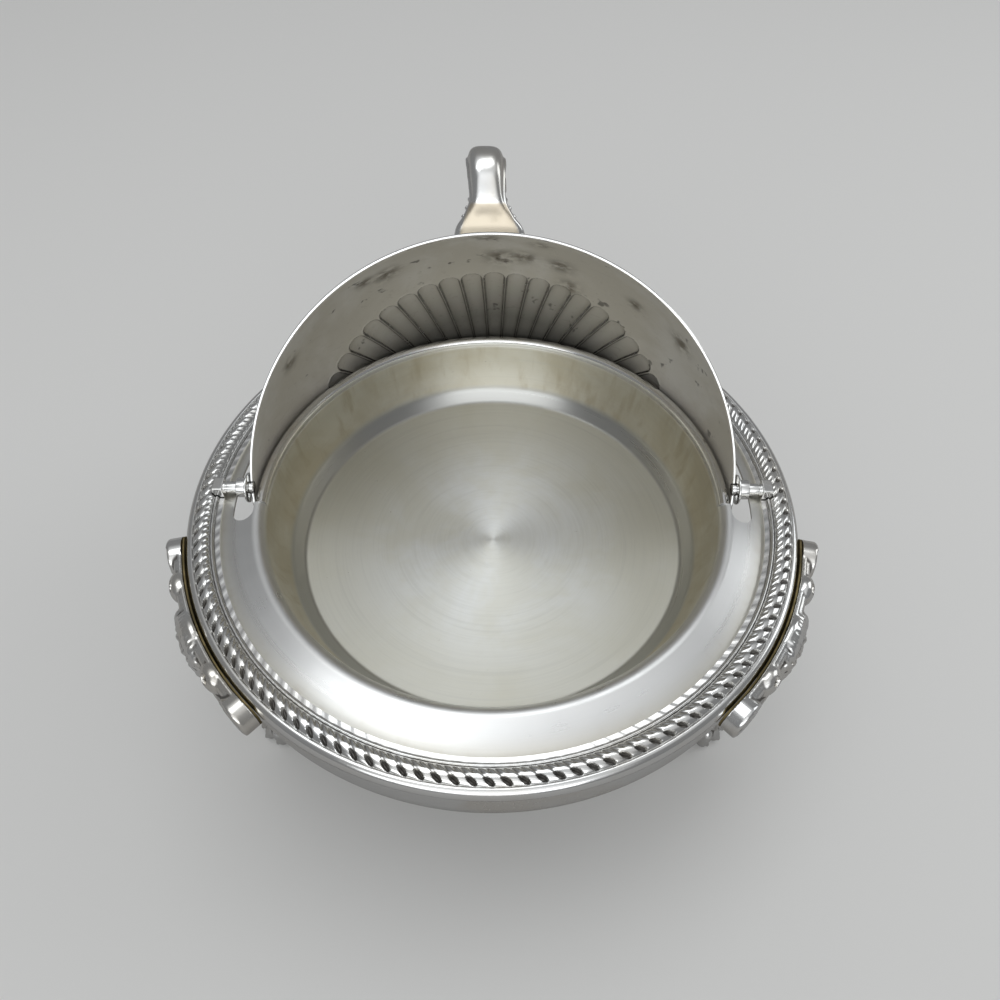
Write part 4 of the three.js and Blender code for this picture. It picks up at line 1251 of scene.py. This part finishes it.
# %% [markdown]
# ## A cast leg
# Each leg is one casting: a bracket with rolled ends that lies along the apron, a lion's mask
# at its middle, and a curved shank that ends in a paw. It is modelled once, standing out
# along X, and placed three times. First comes the bracket, from the same outline the frame's
# solid has, with a raised edge and a spiral on each roll.

# %% Leg: bracket
SHOULDER_HALF, SHOULDER_DEEP, SHOULDER_TOP = 29.0, 3.0, -0.6
VOLUTE_R, VOLUTE_DEEP, VOLUTE_TOP = 5.0, 3.85, 0.3
NECK_AT, NECK_DEPTH, KNEE_DEPTH = 17.0, 7.2, 22.0
EYE_AT, EYE_Z = 13.6, -3.4
COIL_R, COIL_DRAWN_IN, COIL_TURN, COIL_POINTS = 4.5, 0.14, 0.42, 26
VOLUTE_AT = SHOULDER_HALF - VOLUTE_R
VOLUTE_Z = VOLUTE_TOP - VOLUTE_R


def ease_in(x):
    x = min(max(x, 0.0), 1.0)
    return x * x * (3 - 2 * x)


def bracket(along):
    """Lower and upper edge of the bracket at a distance along the apron."""
    s = abs(along)
    if s > VOLUTE_AT:
        half = math.sqrt(max(VOLUTE_R ** 2 - (s - VOLUTE_AT) ** 2, 0.25))
        return VOLUTE_Z - half, min(VOLUTE_Z + half, SHOULDER_TOP)
    if s < NECK_AT:
        return -(NECK_DEPTH + (KNEE_DEPTH - NECK_DEPTH) * ease_in(1 - s / NECK_AT)), SHOULDER_TOP
    roll = 2 * VOLUTE_R - VOLUTE_TOP - 0.9 - NECK_DEPTH
    return -(NECK_DEPTH + roll * ease_in((s - NECK_AT) / (VOLUTE_AT - NECK_AT))), SHOULDER_TOP


def bend(points):
    """Wraps flat (outward, along, up) points round the apron."""
    r, along, z = points.T
    return np.stack([r * np.cos(along / LEG_R), r * np.sin(along / LEG_R), z], 1)


def bent(piece_skin):
    return bend(piece_skin[0]), piece_skin[1]


def bracket_skin_of(reach, back, front, ease, low_limit=-math.inf, steps=90):
    """A closed skin of the bracket's outline from -reach to reach, between two radii."""
    rings = []
    for along in np.linspace(-reach, reach, steps):
        low, high = bracket(along)
        low = max(low, low_limit)
        middle, soft = (low + high) / 2, min(ease, (high - low) / 3)
        rings.append([(r, along, z) for r, z in rounded([
            (back, middle, 0), (back, low, 0.05), (front, low, soft),
            (front, high, soft), (back, high, 0.05), (back, middle, 0)], 4)[:-1]])
    return bent(closed_tube(np.array(rings)))


def drum(along, z, profile):
    """Spins (outward, radius) corners about a line that stands out from the apron."""
    points, faces = skin(lathe(profile, 48, 5) + (0, 0, z), True, False)
    turned = along / LEG_R
    x, y, z = points.T
    return np.stack([x * math.cos(turned) - y * math.sin(turned),
                     x * math.sin(turned) + y * math.cos(turned), z], 1), faces


leg_back = LEG_R - 1.2
shoulder_face = LEG_R + SHOULDER_DEEP
volute_face = LEG_R + VOLUTE_DEEP
bracket_skin = bracket_skin_of(VOLUTE_AT, leg_back, shoulder_face - 0.6, 2.2)
trim = []
for sign in (-1, 1):
    trim.append(drum(sign * VOLUTE_AT, VOLUTE_Z, [
        (leg_back, 0, 0), (leg_back, VOLUTE_R, 0.1), (volute_face - 0.3, VOLUTE_R, 0.8),
        (volute_face - 0.35, VOLUTE_R - 0.9, 0.4), (volute_face - 0.5, 0, 0)]))
    lower = [(shoulder_face - 0.2, sign * s, bracket(s)[0] + 0.7) for s in range(7, 21, 2)]
    trim.append(bent(stroke(lower, [0.7, 0.75, 0.7], count=40)))
    coil = [(volute_face - 0.45,
             sign * (VOLUTE_AT + (COIL_R - COIL_DRAWN_IN * k) * math.sin(COIL_TURN * k)),
             VOLUTE_Z + (COIL_R - COIL_DRAWN_IN * k) * math.cos(COIL_TURN * k))
            for k in range(COIL_POINTS)]
    trim.append(bent(stroke(coil, [0.45, 0.45, 0.4], count=110)))
    trim.append(bent(ball((volute_face - 0.5, sign * VOLUTE_AT, VOLUTE_Z), (0.5, 1.1, 1.1))))
    trim.append(bent(ball((LEG_R + 1.3, sign * EYE_AT, EYE_Z), (2.8, 4.3, 3.7), 32)))
    top_edge = [(LEG_R + 0.5, sign * s, SHOULDER_TOP + 0.05) for s in (2, 8, 14, 20, 24)]
    trim.append(bent(stroke(top_edge, [0.45, 0.45, 0.35], count=40)))
print("bracket and", len(trim), "trim strokes")

# %% [markdown]
# ### The lion's mask
# The face is a stack of soft forms: skull, cheeks, muzzle with two pads, nose, brows, eyes,
# ears and chin. The mane is three rings of wavy locks that start under the face and taper
# outward. Locks are drawn by a loop round the face, with a seeded wobble so that no two match.

# %% Leg: lion's mask
MASK_R, MASK_Z = LEG_R + 1.6, -8.6
MASK_W, MASK_H = 9.4, 10.6


def on_mask(out, side, up):
    return (MASK_R + out, side, MASK_Z + up)


face_parts = [
    ball(on_mask(-0.7, 0, 0.6), (3.3, MASK_W * 0.86, MASK_H * 0.84), 40),
    ball(on_mask(-0.8, 0, -1.0), (2.5, MASK_W * 0.95, MASK_H * 0.9), 32),
    ball(on_mask(0.8, 0, 0.6), (2.3, 5.6, 6.8), 28),
    ball(on_mask(2.0, 0, -2.9), (2.0, 2.5, 2.3)),
    ball(on_mask(3.2, 0, -0.5), (0.9, 1.35, 0.8)),
    ball(on_mask(1.9, 0, -5.6), (1.5, 1.9, 1.1)),
]
for sign in (-1, 1):
    face_parts += [
        ball(on_mask(1.5, sign * 3.3, -1.8), (1.6, 2.1, 2.6)),
        ball(on_mask(3.0, sign * 1.25, -2.7), (1.15, 1.3, 1.25)),
        ball(on_mask(2.35, sign * 2.3, 1.3), (0.85, 1.05, 0.8)),
        stroke([on_mask(2.7, sign * 0.9, 2.4), on_mask(3.0, sign * 2.3, 3.0),
                on_mask(2.0, sign * 4.2, 2.1)], [0.6, 0.85, 0.5]),
        stroke([on_mask(2.9, sign * 0.55, 3.4), on_mask(3.3, sign * 0.55, 1.6),
                on_mask(3.6, sign * 0.5, -0.2)], [0.5, 0.65, 0.6]),
        ball(on_mask(1.5, sign * 5.0, 5.2), (1.0, 1.5, 1.7)),
        stroke([on_mask(2.3, sign * 2.0, -4.4), on_mask(2.0, sign * 3.2, -5.4),
                on_mask(1.3, sign * 3.4, -7.2)], [0.5, 0.6, 0.3]),
    ]

MANE_RINGS = ((0.60, 0.88, 23, 2.6, 1.2, 0.78), (0.78, 1.0, 31, 1.7, 1.5, 0.8),
              (0.50, 0.70, 17, 3.1, 0.9, 0.62))
wobbles = np.random.default_rng(7)
locks = []
for ring_start, ring_stop, number, lift, sink, thick in MANE_RINGS:
    for k in range(number):
        angle = 2 * math.pi * (k + 0.5 * (number % 2)) / number + wobbles.uniform(-0.05, 0.05)
        curl = wobbles.choice([-1, 1]) * wobbles.uniform(0.06, 0.14)
        if math.cos(angle) > 0.55 or (ring_start < 0.55 and math.cos(angle) < -0.1):
            continue
        places = []
        for share, swing in ((0, 0), (0.35, 1.0), (0.7, -0.5), (1.0, 0.9)):
            scale_here = ring_start + (ring_stop - ring_start) * share
            a = angle + curl * swing
            places.append(on_mask(lift - sink * share ** 1.5, MASK_W * scale_here * math.sin(a),
                                  MASK_H * scale_here * math.cos(a)))
        locks.append(stroke(places, [thick * 0.7, thick, thick * 0.8, thick * 0.3], count=14, sides=8))
for s in np.linspace(-6.6, 6.6, 13):
    drop, sway = 0.055 * s * s, wobbles.uniform(-0.3, 0.3)
    locks.append(stroke([on_mask(-0.9, s, 8.9 - drop), on_mask(0.9, s * 1.05 + sway, 8.2 - drop),
                         on_mask(2.2, s - sway, 6.2 - drop), on_mask(2.9, s * 0.9, 3.9 - drop)],
                        [0.5, 0.62, 0.55, 0.25], count=18, sides=8))
print(len(face_parts), "forms in the face and", len(locks), "locks in the mane")

# %% [markdown]
# ### Shank and paw
# The shank runs down from the mask in a double curve, thick at the knee and thin at the
# ankle, with a leaf laid over the knee. The paw has four toes, each a stroke from the instep
# forward and down, with a small claw, and the sole is cut flat where it meets the table.

# %% Leg: shank, leaf and paw
KNEE_R = LEG_R + SHOULDER_DEEP / 2
PAW_R, PAW_HEIGHT, PAW_HALF = 75.6, 9.0, 7.0
ANKLE_R, ANKLE_HEIGHT, ANKLE_HALF = 74.6, 16.0, 3.9
shank_stations = np.array([
    (KNEE_R, -8.6, 2.2, MASK_W * 0.8),
    (KNEE_R, -KNEE_DEPTH + 2, 3.2, MASK_W * 0.68),
    (KNEE_R - 2.4, -KNEE_DEPTH - 9, 3.3, MASK_W * 0.53),
    ((KNEE_R + ANKLE_R) / 2 - 1, (GROUND + ANKLE_HEIGHT - KNEE_DEPTH - 9) / 2 - 1, 3.0,
     ANKLE_HALF * 1.08),
    (ANKLE_R, GROUND + ANKLE_HEIGHT, 2.7, ANKLE_HALF * 0.95),
    (PAW_R - 0.9, GROUND + PAW_HEIGHT, 3.6, PAW_HALF * 0.68),
    (PAW_R - 1.2, GROUND + PAW_HEIGHT * 0.5, 4.0, PAW_HALF * 0.8),
    (PAW_R - 1.2, GROUND - 1.0, 3.9, PAW_HALF * 0.78)])
stations = through(shank_stations, 60)
angle = np.linspace(0, 2 * math.pi, 36, endpoint=False)
shank_rings = np.stack([
    stations[:, :1] + stations[:, 2:3] * np.cos(angle), stations[:, 3:4] * np.sin(angle),
    stations[:, 1:2] + 0 * angle], -1)
shank = closed_tube(shank_rings)


def front_of_shank(depth, along):
    """The outward face of the shank at a depth below the rim and a place across it."""
    r = np.interp(-depth, -stations[:, 1], stations[:, 0])
    deep = np.interp(-depth, -stations[:, 1], stations[:, 2])
    wide = np.interp(-depth, -stations[:, 1], stations[:, 3])
    return r + deep * math.sqrt(max(1 - (along / wide) ** 2, 0.05))


def laid(points, lift=0.0):
    """Lays (across, depth) points on the shank's front."""
    return [(front_of_shank(z, s) + lift, s, z) for s, z in points]


LEAFLETS = ((-19, -28, 4.4), (-23, -33, 3.6), (-28, -38, 2.7), (-33, -42, 1.9))
leaf = [stroke(laid([(0, -19), (0, -27), (0, -35), (0, -43)], 0.1), [1.0, 0.9, 0.7, 0.3], count=30)]
for sign in (-1, 1):
    for top, tip, reach_out in LEAFLETS:
        leaf.append(stroke(laid([(0.3 * sign, top), (sign * reach_out * 0.8, (top + tip) / 2 + 1),
                                 (sign * reach_out, tip)]), [0.6, 1.0, 0.35], count=18))
fetlock = [stroke([(ANKLE_R + 1.6, s, GROUND + 19), (ANKLE_R + 3.0, s * 1.5, GROUND + 15),
                   (ANKLE_R + 3.4, s * 1.9, GROUND + 11.5)], [0.5, 0.9, 0.4], count=14)
           for s in (-2.4, -0.8, 0.8, 2.4)]

TOES = 4
toe_pitch = 2 * PAW_HALF / TOES
paw = [ball((PAW_R - 3.0, 0, GROUND + 2.4), (2.8, 4.4, 3.4))]
for k in range(TOES):
    s = (k - (TOES - 1) / 2) * toe_pitch
    tip_r = PAW_R + 2.9 - 0.09 * s * s
    paw.append(stroke([(PAW_R - 1.6, s * 0.62, GROUND + 8.2), (PAW_R + 0.9, s * 0.85, GROUND + 6.4),
                       (tip_r, s, GROUND + 3.2), (tip_r + 0.3, s, GROUND + 1.2)],
                      [1.5, 1.7, 1.95, 1.5], count=20, sides=16))
    paw.append(stroke([(tip_r + 0.8, s, GROUND + 3.4), (tip_r + 1.9, s, GROUND + 1.9),
                       (tip_r + 2.1, s, GROUND + 0.4)], [0.7, 0.6, 0.2], count=10))
print(len(leaf), "leaf strokes and", len(paw), "strokes in the paw")

# %% Leg: melt, fit to the apron and the table, and place three times
LEG_VOXEL = 0.3
EYE_HOLE_R, EYE_HOLE_DEEP, EYE_OUT = 1.25, 2.6, 1.5
leg_mesh = melt("cast_leg", [bracket_skin, *trim, *face_parts, *locks, shank, *leaf, *fetlock,
                             *paw], LEG_VOXEL, 3)
place = points_of(leg_mesh)
along_here = np.arctan2(place[:, 1], place[:, 0]) * LEG_R
r_here = np.hypot(place[:, 0], place[:, 1])
out_here, up_here = r_here - LEG_R - EYE_OUT, place[:, 2] - EYE_Z
for sign in (-1, 1):
    off = np.hypot(along_here - sign * EYE_AT, (up_here - out_here) / math.sqrt(2)) / EYE_HOLE_R
    facing = up_here + out_here > 0.8
    sink = EYE_HOLE_DEEP * np.clip(1 - off ** 3, 0, 1) * facing / math.sqrt(2)
    place -= sink[:, None] * np.stack([np.cos(along_here / LEG_R), np.sin(along_here / LEG_R),
                                       np.ones(len(place))], 1)
    up_here = place[:, 2] - EYE_Z
beside_apron = place[:, 2] > -APRON_DEPTH - 0.9
r_here = np.hypot(place[:, 0], place[:, 1])
push = np.where(beside_apron & (r_here < LEG_R), LEG_R / r_here, 1)
place[:, :2] *= push[:, None]
place[:, 2] = np.maximum(place[:, 2], GROUND)
set_points(leg_mesh, place)
measure_hollows(leg_mesh, rounds=18, depth=0.17)

LEG_TURNS = {"left": -150, "right": -30, "rear": 90}
for name, azimuth_deg in LEG_TURNS.items():
    casting = put(f"cast_leg_{name}", leg_mesh.copy())
    casting.data.transform(Matrix.Rotation(math.radians(azimuth_deg), 4, "Z"))
    dress(casting, "dish", "cast_silver", CAST_SILVER, f"leg_{name}")

# %% [markdown]
# ## The brass seats
# Behind each casting lies a thin plate of the same outline, soldered to the apron. It is the
# bracket's outline again, one gauge thick, and it stops short of the apron's lower edge.

# %% Seats
SEAT_R = BORDER_R + 0.15
SEAT_GAUGE = 0.45
for name, azimuth_deg in LEG_TURNS.items():
    seat_mesh = mesh_of(f"brass_seat_{name}", bracket_skin_of(
        SHOULDER_HALF - 0.1, SEAT_R, SEAT_R + SEAT_GAUGE, 0.12, -APRON_DEPTH + 0.3, 120))
    seat_mesh.transform(Matrix.Rotation(math.radians(azimuth_deg), 4, "Z"))
    dress(finish_mesh(f"brass_seat_{name}", seat_mesh), "dish", "seat_brass", SEAT_BRASS,
          f"leg_seat_{name}")

# %% [markdown]
# ## The handle
# The handle is a cast bar that springs from a leafed foot at the cover's edge, runs out, and
# curls up and back into a small roll. Its lower face is flat and wide at the foot and becomes
# a rounded crown between two thin rims. Leaf tips lie along the upper face of the foot, and a
# rib runs between them. The flat under the foot is worn to a warmer metal. The casting was
# soldered a little aside and leans to the left, so the finished points are slid that way.

# %% Handle
REACH, FOOT_W, BAR_W, EYE_W = 20.3, 16.6, 10.1, 8.8
CROWN, BACK, EYE, RISE, FOOT_RISE = 3.0, 1.2, 4.6, 19.0, 5.6
CROWN_SHARE = 0.85
LEAN, ASIDE = math.tan(math.radians(3.5)), 0.9
tip_out, tip_up = COVER_OUT + REACH - CROWN - 0.1, RISE - CROWN - 0.1
handle_stations = through([
    (COVER_OUT - 3, FOOT_RISE + 1.6, FOOT_W * 1.12, 0.0, 2.6),
    (COVER_OUT + 1, FOOT_RISE + 0.4, FOOT_W, 0.0, 1.8),
    (COVER_OUT + 4, FOOT_RISE, FOOT_W * 0.74, 0.02, 1.2),
    (COVER_OUT + 7.6, FOOT_RISE, BAR_W * 0.9, 0.5, 1),
    (tip_out - 4, FOOT_RISE + 1.2, BAR_W * 0.93, 1, 1),
    (tip_out - 1, FOOT_RISE + 3.6, BAR_W * 0.98, 1, 1),
    (tip_out, FOOT_RISE + 7, BAR_W, 1, 1),
    (tip_out - 1.6, tip_up - 1, BAR_W, 0.98, 1),
    (tip_out - 4.6, tip_up, EYE_W, 0.9, 0.9)], 110)
lower_x = np.sin(np.linspace(-math.pi / 2, math.pi / 2, 33))
crown_line = np.clip(1 - np.abs(lower_x / CROWN_SHARE) ** 3.6, 0, 1) ** 0.55
rim_line = 0.55 * np.clip(1 - np.abs(lower_x) ** 8, 0, 1) ** 0.5
back_line = np.clip(1 - np.abs(lower_x[::-1]) ** 3, 0, 1) ** 0.6
run = np.gradient(handle_stations[:, :2], axis=0)
run /= np.linalg.norm(run, axis=1)[:, None]
across_run = np.stack([-run[:, 1], run[:, 0]], 1)
handle_rings = []
for (out, up, width, bulge, swell), (across_out, across_up) in zip(handle_stations, across_run):
    crown = (CROWN - 0.55) * bulge * crown_line + rim_line * (1 + 1.6 * (1 - bulge))
    n = np.concatenate([-crown, (BACK * swell * back_line)[1:-1]])
    x = np.concatenate([lower_x, lower_x[::-1][1:-1]]) * width / 2
    handle_rings.append(np.stack([x, -(out + across_out * n), up + across_up * n], 1))
bar = closed_tube(np.array(handle_rings))
roll_half = EYE_W / 2 + 0.4
roll = skin(lathe([
    (-roll_half, 0, 0), (-roll_half, EYE * 0.38, 0.3), (-EYE_W / 2 + 0.3, EYE / 2, 0.4),
    (EYE_W / 2 - 0.3, EYE / 2, 0.4), (roll_half, EYE * 0.38, 0.3), (roll_half, 0, 0)],
    40) + (0, 5.6 - tip_out, tip_up - 0.6), True, False)
print("the bar has", len(handle_rings), "rings of", len(handle_rings[0]), "points")

# %% Handle: leaf tips, melting and worn panel
HANDLE_VOXEL = 0.22
LEAF_TIPS = ((0.6, 8.3), (2.6, 7.5), (4.6, 6.3), (6.6, 5.3))
PANEL_OUT, PANEL_SOFT = 7.0, 0.6
handle_parts = [bar, roll]
handle_parts.append(stroke([(0, -(COVER_OUT + 2), FOOT_RISE + 3.0),
                            (0, -(COVER_OUT + 8), FOOT_RISE + 1.5),
                            (0, -(tip_out - 5), FOOT_RISE + 2.6)], [1.0, 0.7, 0.4], count=24))
for sign in (-1, 1):
    for k, (out, half) in enumerate(LEAF_TIPS):
        handle_parts.append(stroke([
            (sign * half * 0.25, -(COVER_OUT + out + 0.2), FOOT_RISE + 2.4 - 0.3 * k),
            (sign * half * 0.7, -(COVER_OUT + out + 0.5), FOOT_RISE + 1.7 - 0.25 * k),
            (sign * half * 0.88, -(COVER_OUT + out + 1.4), FOOT_RISE + 1.3 - 0.1 * k)],
            [0.6, 0.9, 0.45], count=16))
handle_mesh = melt("cast_handle", handle_parts, HANDLE_VOXEL, 3)
place = points_of(handle_mesh)
straight = place[:, 0].copy()
place[:, 0] -= ASIDE + LEAN * np.maximum(-place[:, 1] - COVER_OUT, 0)
distance = np.linalg.norm(place, axis=1)
bed = COVER_OUT + 0.3
close_in = distance < bed
place[close_in] *= (bed / distance[close_in])[:, None]
out_here = -place[:, 1]
under = place[:, 2] < FOOT_RISE + 0.3
panel = np.clip((COVER_OUT + PANEL_OUT - out_here) / 0.7, 0, 1) * under
half_here = np.interp(out_here, [COVER_OUT, COVER_OUT + 4, COVER_OUT + 8], [7.6, 5.9, 4.0])
panel = panel * np.clip((half_here - np.abs(straight)) / PANEL_SOFT, 0, 1)
set_points(handle_mesh, rolled_back(place))
store(handle_mesh, "worn", panel)
measure_hollows(handle_mesh, rounds=16, depth=0.22)
handle = put("cast_handle", handle_mesh)
dress(handle, "cover", "cast_silver", CAST_SILVER, "handle")
